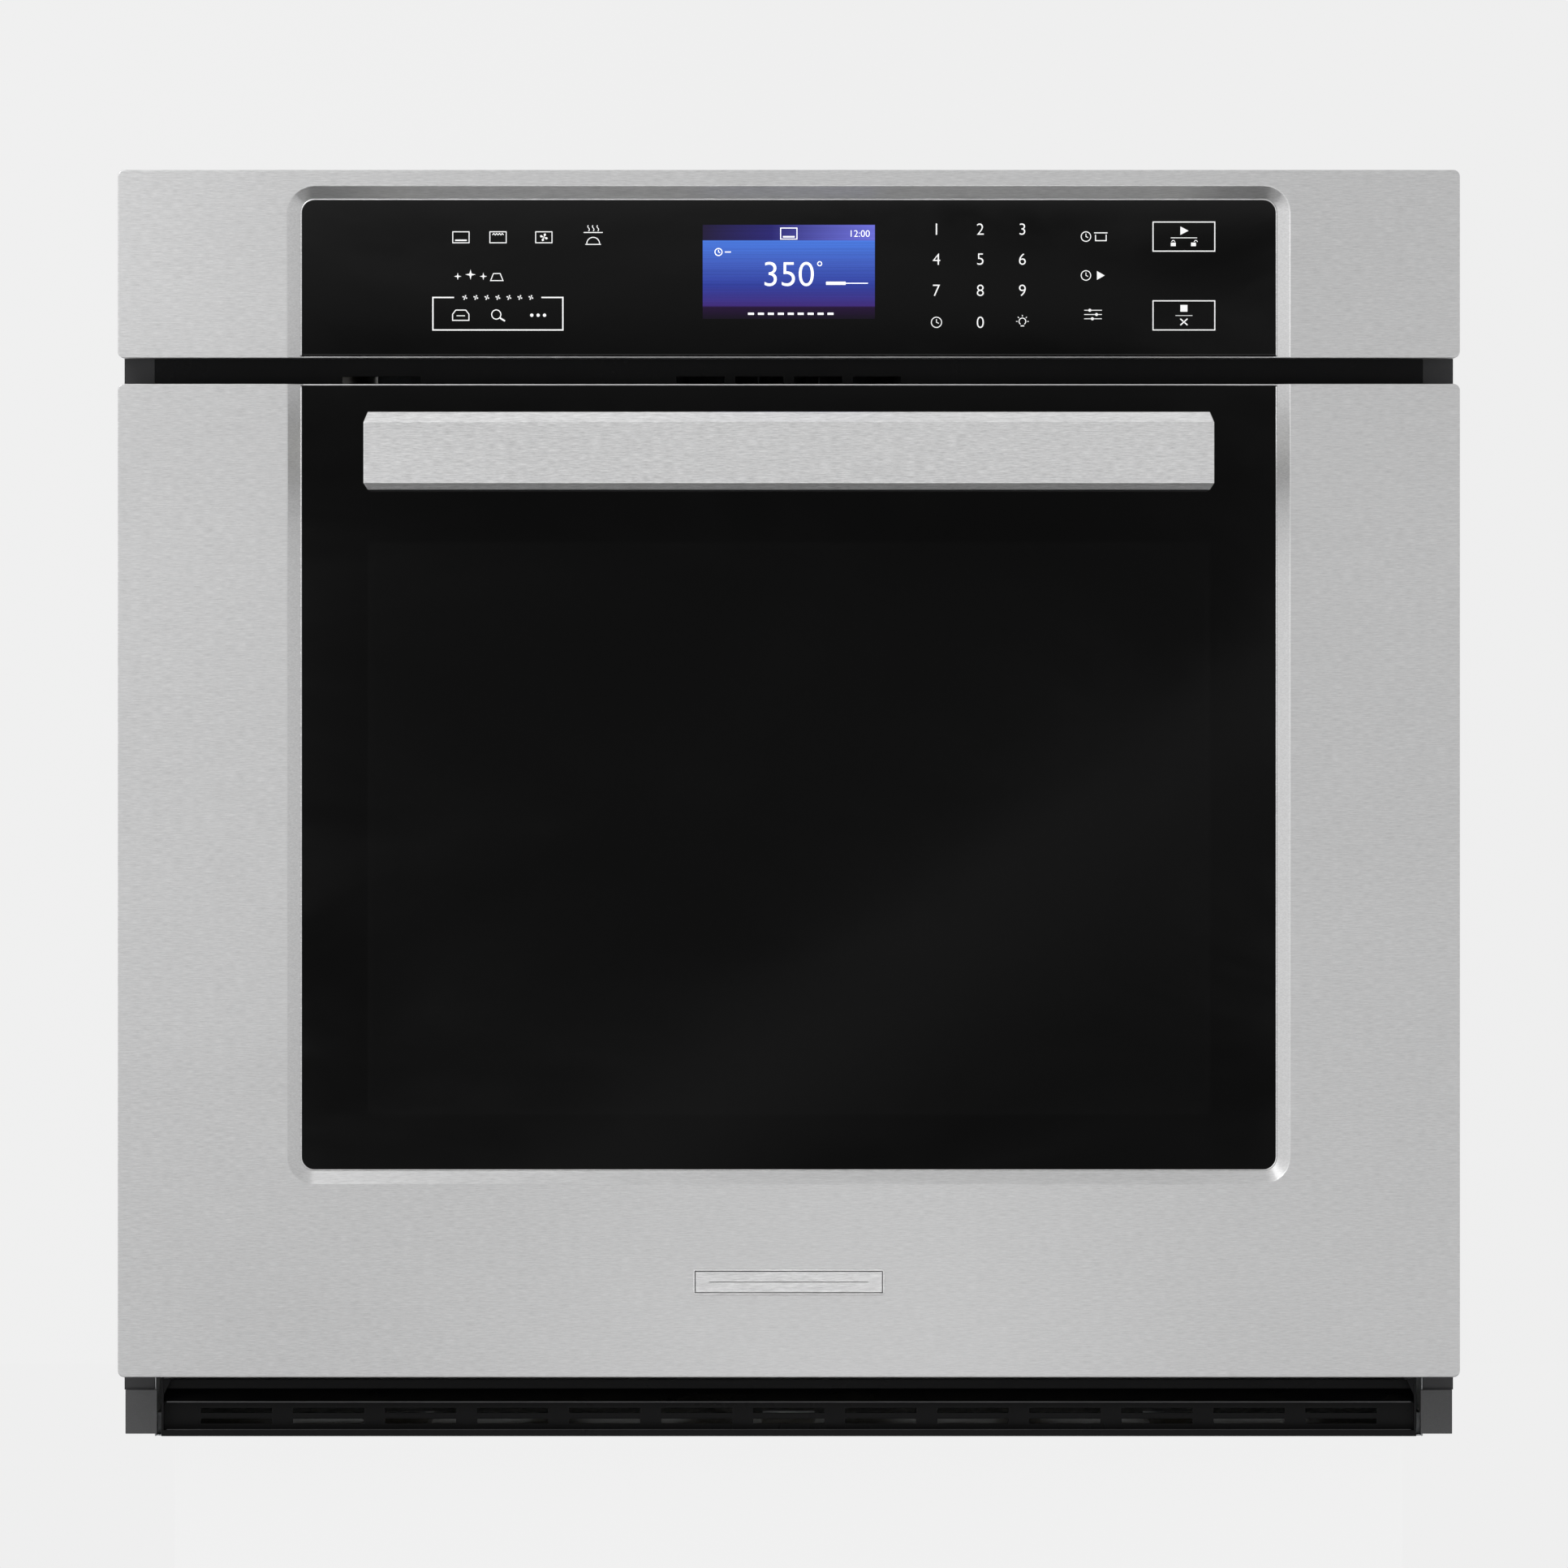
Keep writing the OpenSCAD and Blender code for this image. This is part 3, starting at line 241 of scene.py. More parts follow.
def clear_glass():
    f = Finish("clear_glass", (0.88, 0.95, 0.92), 0.0)
    f.set("Transmission Weight", 1.0)
    f.set("IOR", 1.47)
    haze = f.noise((6, 6, 8), 4.0, 0.6, 0.7)
    f.drive("Roughness", f.remap(haze, 0.4, 0.8, 0.0, 0.05))
    f.tint(haze, [(0.3, (0.90, 0.96, 0.93)), (0.8, (0.82, 0.88, 0.85))])
    return f


def lamp_glass():
    """Pressed lens: rings of ribs, slightly frosted."""
    f = Finish("lamp_glass", (0.92, 0.95, 0.94), 0.16)
    f.set("Transmission Weight", 0.85)
    f.set("IOR", 1.47)
    ribs = f.cells(300, "Distance", "SMOOTH_F1")
    frost = f.noise((260, 260, 260), 3.0)
    f.gloss(frost, 0.10, 0.26)
    f.relief(ribs, 0.0006, 0.5, f.bump(frost, 0.0001, 0.3))
    f.tint(frost, [(0.3, (0.95, 0.97, 0.96)), (0.8, (0.80, 0.84, 0.83))])
    return f


def enamel():
    """Dark blue-grey enamel with pale specks and a slight orange peel."""
    f = Finish("enamel", (0.018, 0.021, 0.032), 0.16)
    f.set("Coat Weight", 0.4)
    f.set("Coat Roughness", 0.06)
    specks = f.cells(430)
    fine_specks = f.cells(1100)
    peel = f.noise((240, 240, 240), 3.0)
    mottle = f.noise((9, 9, 9), 5.0, 0.6)
    big = f.remap(specks, 0.10, 0.17, 1.0, 0.0)
    small = f.remap(fine_specks, 0.10, 0.20, 0.5, 0.0)
    level = f.calc("MAXIMUM", big, small)
    tone = f.plus(f.times(level, 0.8), f.remap(mottle, 0.3, 0.7, 0.0, 0.10))
    f.tint(tone, [(0.0, (0.014, 0.017, 0.028)), (0.12, (0.026, 0.030, 0.044)), (0.8, (0.30, 0.32, 0.36))])
    f.gloss(mottle, 0.11, 0.22)
    f.relief(peel, 0.00012, 0.5)
    return f


def coated(name, colour, roughness, peel):
    """Sprayed and baked paint on sheet steel, worn paler in places."""
    f = Finish(name, colour, roughness)
    grain = f.noise((1400, 1400, 1400), 3.0, 0.6)
    cloud = f.noise((14, 14, 14), 5.0, 0.6)
    f.tint(f.mix(grain, 0.4, cloud, 0.6), [(0.3, tuple(c * 0.75 for c in colour)),
                                           (0.5, colour), (0.72, tuple(c * 1.35 for c in colour))])
    f.gloss(cloud, roughness - 0.07, roughness + 0.08)
    f.relief(grain, 0.00006, peel)
    return f


def dark_steel():
    f = coated("dark_steel", (0.006, 0.006, 0.0065), 0.30, 0.4)
    f.set("Specular IOR Level", 0.12)
    return f


def trim_steel():
    return coated("trim_steel", (0.026, 0.026, 0.028), 0.42, 0.4)


def galvanised():
    """Hot-dip zinc: crystal spangles with their own tone and gloss, and a few rolling scratches."""
    f = Finish("galvanised", (0.55, 0.57, 0.58), 0.42, 1.0)
    warp = f.noise((60, 60, 60), 3.0)
    shifted = f.add("VectorMath", {0: f.place, 1: f.add(
        "VectorMath", {0: warp, "Scale": 0.008}, operation="SCALE").outputs["Vector"]},
        operation="ADD")
    crystal = f.cells(140, "Color", vector=shifted.outputs["Vector"])
    facet = f.add("SeparateColor", {"Color": crystal})
    scratch = f.noise((900, 14, 900), 2.0)
    tone = f.mix(facet.outputs["Red"], 0.75, scratch, 0.25)
    f.tint(tone, [(0.1, (0.52, 0.535, 0.545)), (0.5, (0.56, 0.575, 0.585)), (0.9, (0.61, 0.62, 0.63))])
    f.drive("Roughness", f.remap(facet.outputs["Green"], 0.0, 1.0, 0.38, 0.46))
    f.relief(tone, 0.00004, 0.25)
    return f


def satin_metal(name, colour, roughness, scale, stain):
    """Plain metal with a directionless satin grain and slow stains."""
    f = Finish(name, colour, roughness, 1.0)
    grain = f.noise(scale, 3.0, 0.6)
    cloud = f.noise((22, 22, 22), 5.0, 0.65, 0.5)
    tone = f.mix(grain, 0.35, cloud, 0.65)
    f.tint(tone, [(0.32, stain), (0.5, colour), (0.7, tuple(min(1, c * 1.12) for c in colour))])
    f.gloss(cloud, roughness - 0.06, roughness + 0.09)
    f.relief(grain, 0.00003, 0.5)
    return f


def cap_grey():
    return coated("cap_grey", (0.066, 0.066, 0.068), 0.46, 0.5)


def plated_steel():
    return satin_metal("plated_steel", (0.52, 0.51, 0.48), 0.32, (900, 900, 900), (0.44, 0.43, 0.37))


def chrome_wire():
    return satin_metal("chrome_wire", (0.74, 0.73, 0.71), 0.14, (700, 60, 700), (0.62, 0.59, 0.54))


def element_sheath():
    """Alloy tube, oxidised blue-brown by heat."""
    return satin_metal("element_sheath", (0.10, 0.092, 0.088), 0.46, (500, 500, 500), (0.055, 0.052, 0.06))


def aluminium():
    return satin_metal("aluminium", (0.74, 0.745, 0.75), 0.34, (1200, 1200, 1200), (0.64, 0.645, 0.65))


def wool():
    """Yellow glass wool: matted fibres and soft hollows."""
    f = Finish("wool", (0.68, 0.62, 0.42), 0.95)
    fibres = f.noise((500, 90, 500), 6.0, 0.75, 1.5)
    crossed = f.noise((90, 500, 300), 6.0, 0.75, 1.5)
    hollows = f.noise((26, 26, 26), 4.0)
    mat = f.mix(fibres, 0.5, crossed, 0.5)
    f.tint(mat, [(0.35, (0.42, 0.36, 0.20)), (0.55, (0.68, 0.62, 0.42)), (0.7, (0.86, 0.82, 0.66))])
    f.gloss(mat, 0.85, 1.0)
    f.relief(mat, 0.0012, 0.8, f.bump(hollows, 0.006, 0.7))
    f.set("Sheen Weight", 0.3)
    return f


def braid():
    """Glass-fibre yarn, dark grey, with single paler fibres."""
    f = Finish("braid", (0.15, 0.15, 0.155), 0.72)
    fibres = f.noise((2600, 2600, 2600), 4.0, 0.7)
    soot = f.noise((30, 30, 30), 4.0, 0.6)
    tone = f.mix(fibres, 0.6, soot, 0.4)
    f.tint(tone, [(0.35, (0.075, 0.075, 0.08)), (0.55, (0.16, 0.16, 0.165)), (0.72, (0.30, 0.30, 0.30))])
    f.gloss(tone, 0.62, 0.85)
    f.relief(fibres, 0.0002, 0.7)
    f.set("Sheen Weight", 0.25)
    return f


def board():
    """Green solder mask over copper tracks, with tinned pads."""
    f = Finish("board", (0.02, 0.14, 0.07), 0.35)
    tracks = f.cells(210, feature="DISTANCE_TO_EDGE", randomness=0.35)
    pads = f.cells(330, randomness=0.25)
    line = f.remap(tracks, 0.04, 0.07, 1.0, 0.0)
    pad = f.remap(pads, 0.10, 0.14, 1.0, 0.0)
    tone = f.calc("MAXIMUM", f.times(line, 0.45), pad)
    f.tint(tone, [(0.0, (0.012, 0.10, 0.05)), (0.45, (0.04, 0.24, 0.12)), (1.0, (0.62, 0.60, 0.55))])
    f.drive("Metallic", f.times(pad, 0.8))
    f.drive("Roughness", f.remap(tone, 0.0, 1.0, 0.42, 0.25))
    f.relief(tone, 0.00005, 0.6)
    return f


def moulded(name, colour, roughness):
    """Moulded plastic with a fine spark-eroded grain."""
    f = Finish(name, colour, roughness)
    grain = f.noise((2200, 2200, 2200), 3.0, 0.6)
    flow = f.noise((40, 40, 12), 3.0)
    f.tint(flow, [(0.3, tuple(c * 0.86 for c in colour)), (0.7, colour)])
    f.gloss(grain, roughness - 0.06, roughness + 0.08)
    f.relief(grain, 0.00005, 0.6)
    return f


def black_plastic():
    return moulded("black_plastic", (0.022, 0.022, 0.024), 0.48)


def ivory_plastic():
    return moulded("ivory_plastic", (0.74, 0.70, 0.60), 0.42)


def ceramic():
    """Glazed white ceramic with faint firing specks."""
    f = Finish("ceramic", (0.84, 0.83, 0.79), 0.14)
    f.set("Coat Weight", 0.5)
    specks = f.cells(700)
    cloud = f.noise((60, 60, 60), 4.0)
    tone = f.calc("SUBTRACT", cloud, f.remap(specks, 0.04, 0.08, 0.4, 0.0))
    f.tint(tone, [(0.0, (0.42, 0.36, 0.28)), (0.3, (0.80, 0.78, 0.73)), (0.8, (0.88, 0.87, 0.84))])
    f.gloss(cloud, 0.10, 0.22)
    f.relief(cloud, 0.00008, 0.4)
    return f


def ink_with_painted_glow():
    """White ceramic print, very slightly uneven, with a faint painted glow of its own."""
    f = Finish("ink_with_painted_glow", grey(0.92), 0.35)
    cover = f.noise((1800, 1800, 1800), 3.0)
    f.tint(cover, [(0.25, grey(0.80)), (0.5, grey(0.94))])
    # Painted glow: the print gives off faint white light, so it stays bright whatever light falls on it
    f.set("Emission Color", (1.0, 1.0, 1.0, 1.0))
    f.set("Emission Strength", 0.16)
    return f


def screen_light(centre, half_w, half_h):
    """A lit display: a violet band above and below, and blue that deepens downwards in fine lines."""
    f = Finish("screen_light", grey(0.002), 0.06)
    axes = f.axes()
    up = f.remap(axes["Z"], centre.z - half_h, centre.z + half_h, 0.0, 1.0)
    across = f.remap(axes["X"], centre.x - half_w, centre.x + half_w, 0.0, 1.0)
    lines = f.noise((6, 6, 1500), 3.0)
    body = f.ramp(up, [(0.0, (0.004, 0.001, 0.009)), (0.125, (0.016, 0.003, 0.035)),
                       (0.14, (0.050, 0.022, 0.20)), (0.36, (0.030, 0.050, 0.36)),
                       (0.60, (0.055, 0.120, 0.56)), (0.82, (0.068, 0.200, 0.78))])
    header = f.ramp(across, [(0.0, (0.014, 0.008, 0.040)), (0.4, (0.022, 0.018, 0.17)),
                             (1.0, (0.16, 0.17, 0.74))])
    top = f.remap(up, 0.832, 0.838, 0.0, 1.0)
    shown = f.add("Mix", {"Factor": top, 6: body, 7: header}, data_type="RGBA")
    lined = f.add("Mix", {"Factor": f.remap(lines, 0.35, 0.65, 0.0, 0.16), 6: shown.outputs[2],
                          7: (0.0, 0.0, 0.0, 1.0)}, data_type="RGBA")
    f.drive("Emission Color", lined.outputs[2])
    f.set("Emission Strength", 1.0)
    return f


def figures_light():
    """The display's lit figures."""
    f = Finish("figures_light", grey(0.5), 0.3)
    glow = f.noise((900, 900, 900), 2.0)
    f.drive("Emission Color", f.ramp(glow, [(0.3, (0.86, 0.90, 1.0)), (0.6, (0.97, 0.98, 1.0))]))
    f.set("Emission Strength", 0.95)
    return f


# One for each material slot, and named after it
FINISHES = (stainless, handle_steel, black_glass, clear_glass, lamp_glass, enamel, dark_steel, trim_steel,
            galvanised, cap_grey, plated_steel, chrome_wire, element_sheath, aluminium, wool, braid, board,
            black_plastic, ivory_plastic, ceramic)


def make_finishes():
    return {build.__name__: build().material for build in FINISHES}


# ------------------------------------------------------------------ carried-over nodes

def paint(obj, material):
    obj.data.materials.clear()
    obj.data.materials.append(material)


def soften(obj, width):
    """Joins the imported triangles into clean faces and rounds the hard edges."""
    normals = obj.data.attributes.get("custom_normal")
    if normals:
        obj.data.attributes.remove(normals)
    obj.data.shade_smooth()
    weld = obj.modifiers.new("weld", "WELD")
    weld.merge_threshold = WELD_GAP * MM
    flat = obj.modifiers.new("flat", "DECIMATE")
    flat.decimate_type = "DISSOLVE"
    flat.angle_limit = FLAT_ANGLE
    edge = obj.modifiers.new("edge", "BEVEL")
    edge.width = width * MM
    edge.segments = EDGE_SEGMENTS
    edge.limit_method = "ANGLE"
    edge.angle_limit = SHARP_ANGLE
    shade = obj.modifiers.new("shade", "WEIGHTED_NORMAL")
    shade.keep_sharp = False


def dress_cad(frame, finishes):
    """Gives every CAD node its slot's finish and rounded edges."""
    for part in frame["record"]["subparts"]:
        obj = frame["nodes"][part["node"]]
        paint(obj, finishes[part["material_slot"]])
        soften(obj, EDGE_OF.get(part["node"], EDGE))


# ------------------------------------------------------------------ new pieces

def piece(name, mesh, body, material, replaced=()):
    """Turns a bmesh into a piece that rides on a body."""
    data = bpy.data.meshes.new(name)
    mesh.normal_update()
    mesh.to_mesh(data)
    mesh.free()
    data.shade_smooth()
    obj = bpy.data.objects.new(name, data)
    bpy.context.scene.collection.objects.link(obj)
    paint(obj, material)
    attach(obj, body)
    if replaced:
        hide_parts(*replaced)
    return obj


def bent(points, radius, steps=6):
    """The line through the points, with its corners bent to that radius."""
    path = [Vector(points[0])]
    for before, corner, after in zip(points, points[1:], points[2:]):
        corner = Vector(corner)
        back = (Vector(before) - corner).normalized()
        on = (Vector(after) - corner).normalized()
        half = back.angle(on) / 2
        centre = corner + (back + on).normalized() * (radius / math.sin(half))
        start = corner + back * (radius / math.tan(half)) - centre
        end = corner + on * (radius / math.tan(half)) - centre
        turn = start.angle(end)
        for i in range(steps + 1):
            t = i / steps
            path.append(centre + start * (math.sin((1 - t) * turn) / math.sin(turn))
                        + end * (math.sin(t * turn) / math.sin(turn)))
    path.append(Vector(points[-1]))
    return path


def tube(mesh, path, radius, sides=12, closed=False, shape=None):
    """A round wire along a path. shape(length, angle) may scale its radius. Open ends are domed."""
    tangents = []
    count = len(path)
    for i in range(count):
        before = path[i - 1] if closed or i else path[0]
        after = path[(i + 1) % count] if closed or i + 1 < count else path[-1]
        tangents.append((after - before).normalized())
    side = tangents[0].orthogonal().normalized()
    rings = []
    length = 0.0
    for i, (centre, along) in enumerate(zip(path, tangents)):
        side = (side - along * side.dot(along)).normalized()
        other = along.cross(side)
        if i:
            length += (centre - path[i - 1]).length
        rings.append((centre, along, side, other, length))
    if not closed:
        rings = domed(rings, radius)
    loops = []
    for centre, along, side, other, length in rings:
        size = radius * (side.length if not closed else 1.0)
        loop = []
        for k in range(sides):
            angle = 2 * math.pi * k / sides
            reach = size * (shape(length, angle) if shape else 1.0)
            loop.append(mesh.verts.new(centre + (side.normalized() * math.cos(angle)
                                                 + other.normalized() * math.sin(angle)) * reach))
        loops.append(loop)
    pairs = list(zip(loops, loops[1:]))
    if closed:
        pairs.append((loops[-1], loops[0]))
    for a, b in pairs:
        for k in range(sides):
            mesh.faces.new((a[k], a[(k + 1) % sides], b[(k + 1) % sides], b[k]))
    if not closed:
        mesh.faces.new(list(reversed(loops[0])))
        mesh.faces.new(loops[-1])


def rod_between(mesh, start, end, radius, sides=12):
    """A straight round rod."""
    start = Vector(start)
    end = Vector(end)
    tube(mesh, [start, (start + end) / 2, end], radius, sides)


def domed(rings, radius):
    """Rounds a wire off with two smaller rings at each end. A ring's size is in its side vector."""

    def pulled_in(ring, inward, size):
        """The end ring, moved along the wire to where the dome has that share of the radius."""
        centre, along, side, other, length = ring
        depth = radius * (1 - math.sqrt(1 - size * size))
        return (centre + along * (inward * depth), along, side * size, other, length)

    start = [pulled_in(rings[0], 1, size) for size in (0.55, 0.9, 1.0)]
    end = [pulled_in(rings[-1], -1, size) for size in (1.0, 0.9, 0.55)]
    return start + rings[1:-1] + end


def rounded_loop(x, z, radius, y, step):
    """A closed rectangle with round corners, upright at y, as points at most a step apart."""
    path = []
    corners = [(x - radius, z[1] - radius, 0), (-x + radius, z[1] - radius, 90),
               (-x + radius, z[0] + radius, 180), (x - radius, z[0] + radius, 270)]
    for cx, cz, start in corners:
        for i in range(13):
            a = math.radians(start + 90 * i / 12)
            path.append(Vector((cx + radius * math.cos(a), y, cz + radius * math.sin(a))))
    dense = []
    for a, b in zip(path, path[1:] + path[:1]):
        parts = max(1, math.ceil((b - a).length / step))
        dense += [a.lerp(b, i / parts) for i in range(parts)]
    return dense


def gasket(finishes):
    """The braided rope round the cavity's mouth."""
    low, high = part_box("door_gasket")
    radius = (high.y - low.y) / 2 - 0.15 * MM
    corner = 22 * MM
    step = 1.3 * MM
    path = rounded_loop(high.x - radius, (low.z + radius, high.z - radius), corner - radius,
                        (low.y + high.y) / 2, step)
    strands = 5
    lay = 2 * math.pi / (11 * MM)

    def weave(length, angle):
        one = math.sin(strands * angle + lay * length)
        two = math.sin(strands * angle - lay * length)
        return 0.93 + 0.07 * max(one, two)

    mesh = bmesh.new()
    tube(mesh, path, radius, 24, True, weave)
    piece("gasket_braid", mesh, "root", finishes["braid"], ["door_gasket"])


def glass_bead(name, skin, glass, body, opens_down, finishes):
    """The bright cut edge of a skin where it meets the sunk glass: two sides and the closed end."""
    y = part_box(glass)[0].y
    rim = [v.co for v in cad_nodes[skin].data.vertices if abs(v.co.y - y) < 0.15 * MM]
    open_z = min(p.z for p in rim) if opens_down else max(p.z for p in rim)
    ends = [abs(p.x) for p in rim if abs(p.z - open_z) < 0.5 * MM]
    x = min(ends) - 0.1 * MM
    lap = max(ends) - x
    closed_z = max(p.z for p in rim) - lap if opens_down else min(p.z for p in rim) + lap
    path = bent([(-x, y, open_z), (-x, y, closed_z), (x, y, closed_z), (x, y, open_z)],
                BEAD_CORNER * MM, 8)
    mesh = bmesh.new()
    tube(mesh, path, BEAD_RADIUS * MM, 8)
    piece(name, mesh, body, finishes["handle_steel"])


def glass_beads(finishes):
    glass_bead("control_glass_bead", "control_fascia", "control_glass", "root", True, finishes)
    glass_bead("door_glass_bead", "door_skin", "door_glass", "door", False, finishes)


def louvre_highlight_beads(finishes):
    """Rods along the rolled edges of the vent strip's blade and of its lower lip, in a paler grey than the
    blade: a painted highlight on those edges.
    """
    low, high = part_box("vent_louvre")
    half_w = high.x - 3 * MM
    blade_edge = (low.y + 0.2 * MM, 19.4 * MM)
    lip_top = (low.y + 0.7 * MM, 3.5 * MM)
    mesh = bmesh.new()
    for y, z in (blade_edge, lip_top):
        rod_between(mesh, (-half_w, y, z), (half_w, y, z), BEAD_RADIUS * MM)
    # The paler grey is painted highlight; the blade's own paint is near black
    piece("louvre_highlight_beads", mesh, "root", finishes["cap_grey"])


def window_frame(finishes):
    """The folded frame between the door's inner panes, which hides the insulation's edge."""
    low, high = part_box("inner_glass_pack")
    inset = 7.2 * MM
    sheet = 0.5 * MM
    pane = 3.1 * MM
    half_w = high.x - inset
    z = (low.z + inset, high.z - inset)
    y = (low.y + pane, high.y - pane)
    mesh = bmesh.new()
    outline = [(half_w, z[0]), (half_w, z[1]), (-half_w, z[1]), (-half_w, z[0])]
    inner = [(px - math.copysign(sheet, px), pz + (sheet if pz == z[0] else -sheet)) for px, pz in outline]
    rings = [[mesh.verts.new((px, py, pz)) for px, pz in edge] for edge in (outline, inner) for py in y]
    for a, b in ((0, 1), (1, 3), (3, 2), (2, 0)):
        for k in range(4):
            j = (k + 1) % 4
            mesh.faces.new((rings[a][k], rings[a][j], rings[b][j], rings[b][k]))
    bmesh.ops.recalc_face_normals(mesh, faces=mesh.faces)
    obj = piece("window_frame", mesh, "door", finishes["dark_steel"])
    obj.data.shade_flat()


def rack(name, node, body, finishes):
    """An oven rack: a bent frame rod, two cross rods, fifteen wires and a raised stop at the back."""
    low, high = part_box(node)
    rod = 3.0 * MM
    cross_rod = 2.4 * MM
    wire = 1.75 * MM
    stop_rod = 1.6 * MM
    corner = 14 * MM
    level = low.z + 5.8 * MM
    under = level - 3.4 * MM
    side = high.x - rod
    front = low.y + rod
    back = high.y - rod
    mesh = bmesh.new()
    corners = [(0, front, level), (side, front, level), (side, back, level), (-side, back, level),
               (-side, front, level), (0, front, level)]
    loop = bent(corners, corner, 8)
    tube(mesh, loop[:-1], rod, 14, True)
    for share in (0.285, 0.655):
        y = low.y + share * (high.y - low.y)
        tube(mesh, bent([(-side, y, under), (side, y, under)], rod), cross_rod, 12)
    wires = 15
    lap = 1.4 * MM
    for i in range(1, wires + 1):
        x = -side + 2 * side * i / (wires + 1)
        rod_between(mesh, (x, front - lap, level), (x, back + lap, level), wire, 10)
    stop = side - 8 * MM
    top = high.z - stop_rod
    tube(mesh, bent([(-stop, back, level), (-stop, back, top), (stop, back, top), (stop, back, level)],
                    6 * MM), stop_rod, 10)
    piece(name, mesh, body, finishes["chrome_wire"], [node])


def rack_guide(side, finishes):
    """The wire ladder on one wall of the cavity, its rails bent to the wall at both ends."""
    node = "rack_guide_" + side
    low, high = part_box(node)
    sign = 1 if high.x > 0 else -1
    radius = 2.5 * MM
    foot = 4 * MM
    wall = high.x if sign > 0 else -low.x
    upright = wall - 3.5 * MM
    rail = upright - 4.5 * MM
    outer = wall - radius
    front = low.y + radius
    back = high.y - radius
    uprights = (60 * MM, 240 * MM, 430 * MM)
    levels = 5
    pitch = 70.4 * MM
    first = 124 * MM
    mesh = bmesh.new()
    for y in uprights:
        rod_between(mesh, (sign * upright, y, low.z), (sign * upright, y, high.z), radius)
    for level in range(levels):
        z = first + level * pitch
        tube(mesh, bent([(sign * outer, front, z), (sign * rail, front, z), (sign * rail, back, z),
                         (sign * outer, back, z)], 3.2 * MM), radius, 12)
    for z in (low.z + 2 * foot, high.z - 2 * foot):
        reach = (upright - 1 * MM, wall - 1.5 * MM, wall)
        tube(mesh, [Vector((sign * x, uprights[1], z)) for x in reach], foot, 16)
    piece("rack_guide_wires_" + side, mesh, "root", finishes["chrome_wire"], [node])


def screw_head(mesh, centre, radius, height):
    """A pan head on the +Y side of centre, with a cross recess."""
    rings = 9
    sides = 32
    slot = 0.2 * radius
    slot_reach = 0.62 * radius
    slot_depth = 0.75 * height
    rows = []
    for i in range(rings + 1):
        share = i / rings
        reach = radius * share
        row = []
        for k in range(sides):
            a = 2 * math.pi * k / sides
            x = reach * math.cos(a)
            z = reach * math.sin(a)
            y = height * math.sqrt(max(0.0, 1 - share ** 4))
            if min(abs(x), abs(z)) < slot and max(abs(x), abs(z)) < slot_reach:
                y -= slot_depth
            row.append(mesh.verts.new((centre.x + x, centre.y + y, centre.z + z)))
            if i == 0:
                break
        rows.append(row)
    hub = rows[0][0]
    for k in range(sides):
        mesh.faces.new((hub, rows[1][(k + 1) % sides], rows[1][k]))
    for inner, outer in zip(rows[1:], rows[2:]):
        for k in range(sides):
            mesh.faces.new((inner[k], inner[(k + 1) % sides], outer[(k + 1) % sides], outer[k]))
    mesh.faces.new(rows[-1])


def islands(node):
    """The boxes of a CAD node's separate solids."""
    mesh = bmesh.new()
    mesh.from_mesh(cad_nodes[node].data)
    bmesh.ops.remove_doubles(mesh, verts=mesh.verts, dist=WELD_GAP / 2 * MM)
    seen = set()
    boxes = []
    for start in mesh.verts:
        if start in seen:
            continue
        group = [start]
        seen.add(start)
        for vert in group:
            for edge in vert.link_edges:
                other = edge.other_vert(vert)
                if other not in seen:
                    seen.add(other)
                    group.append(other)
        low = Vector(min(v.co[i] for v in group) for i in range(3))
        high = Vector(max(v.co[i] for v in group) for i in range(3))
        boxes.append((low, high))
    mesh.free()
    return boxes


def screws(name, node, body, finishes):
    """Cross-head screws in place of the CAD ones, with their threaded ends."""
    mesh = bmesh.new()
    height = 1.8 * MM
    thread = 1.7 * MM
    for low, high in islands(node):
        middle = (low + high) / 2
        radius = (high.x - low.x) / 2
        seat = high.y - height
        screw_head(mesh, Vector((middle.x, seat, middle.z)), radius, height)
        rod_between(mesh, (middle.x, seat, middle.z), (middle.x, low.y, middle.z), thread)
    piece(name, mesh, body, finishes["plated_steel"], [node])


# ------------------------------------------------------------------ printed marks

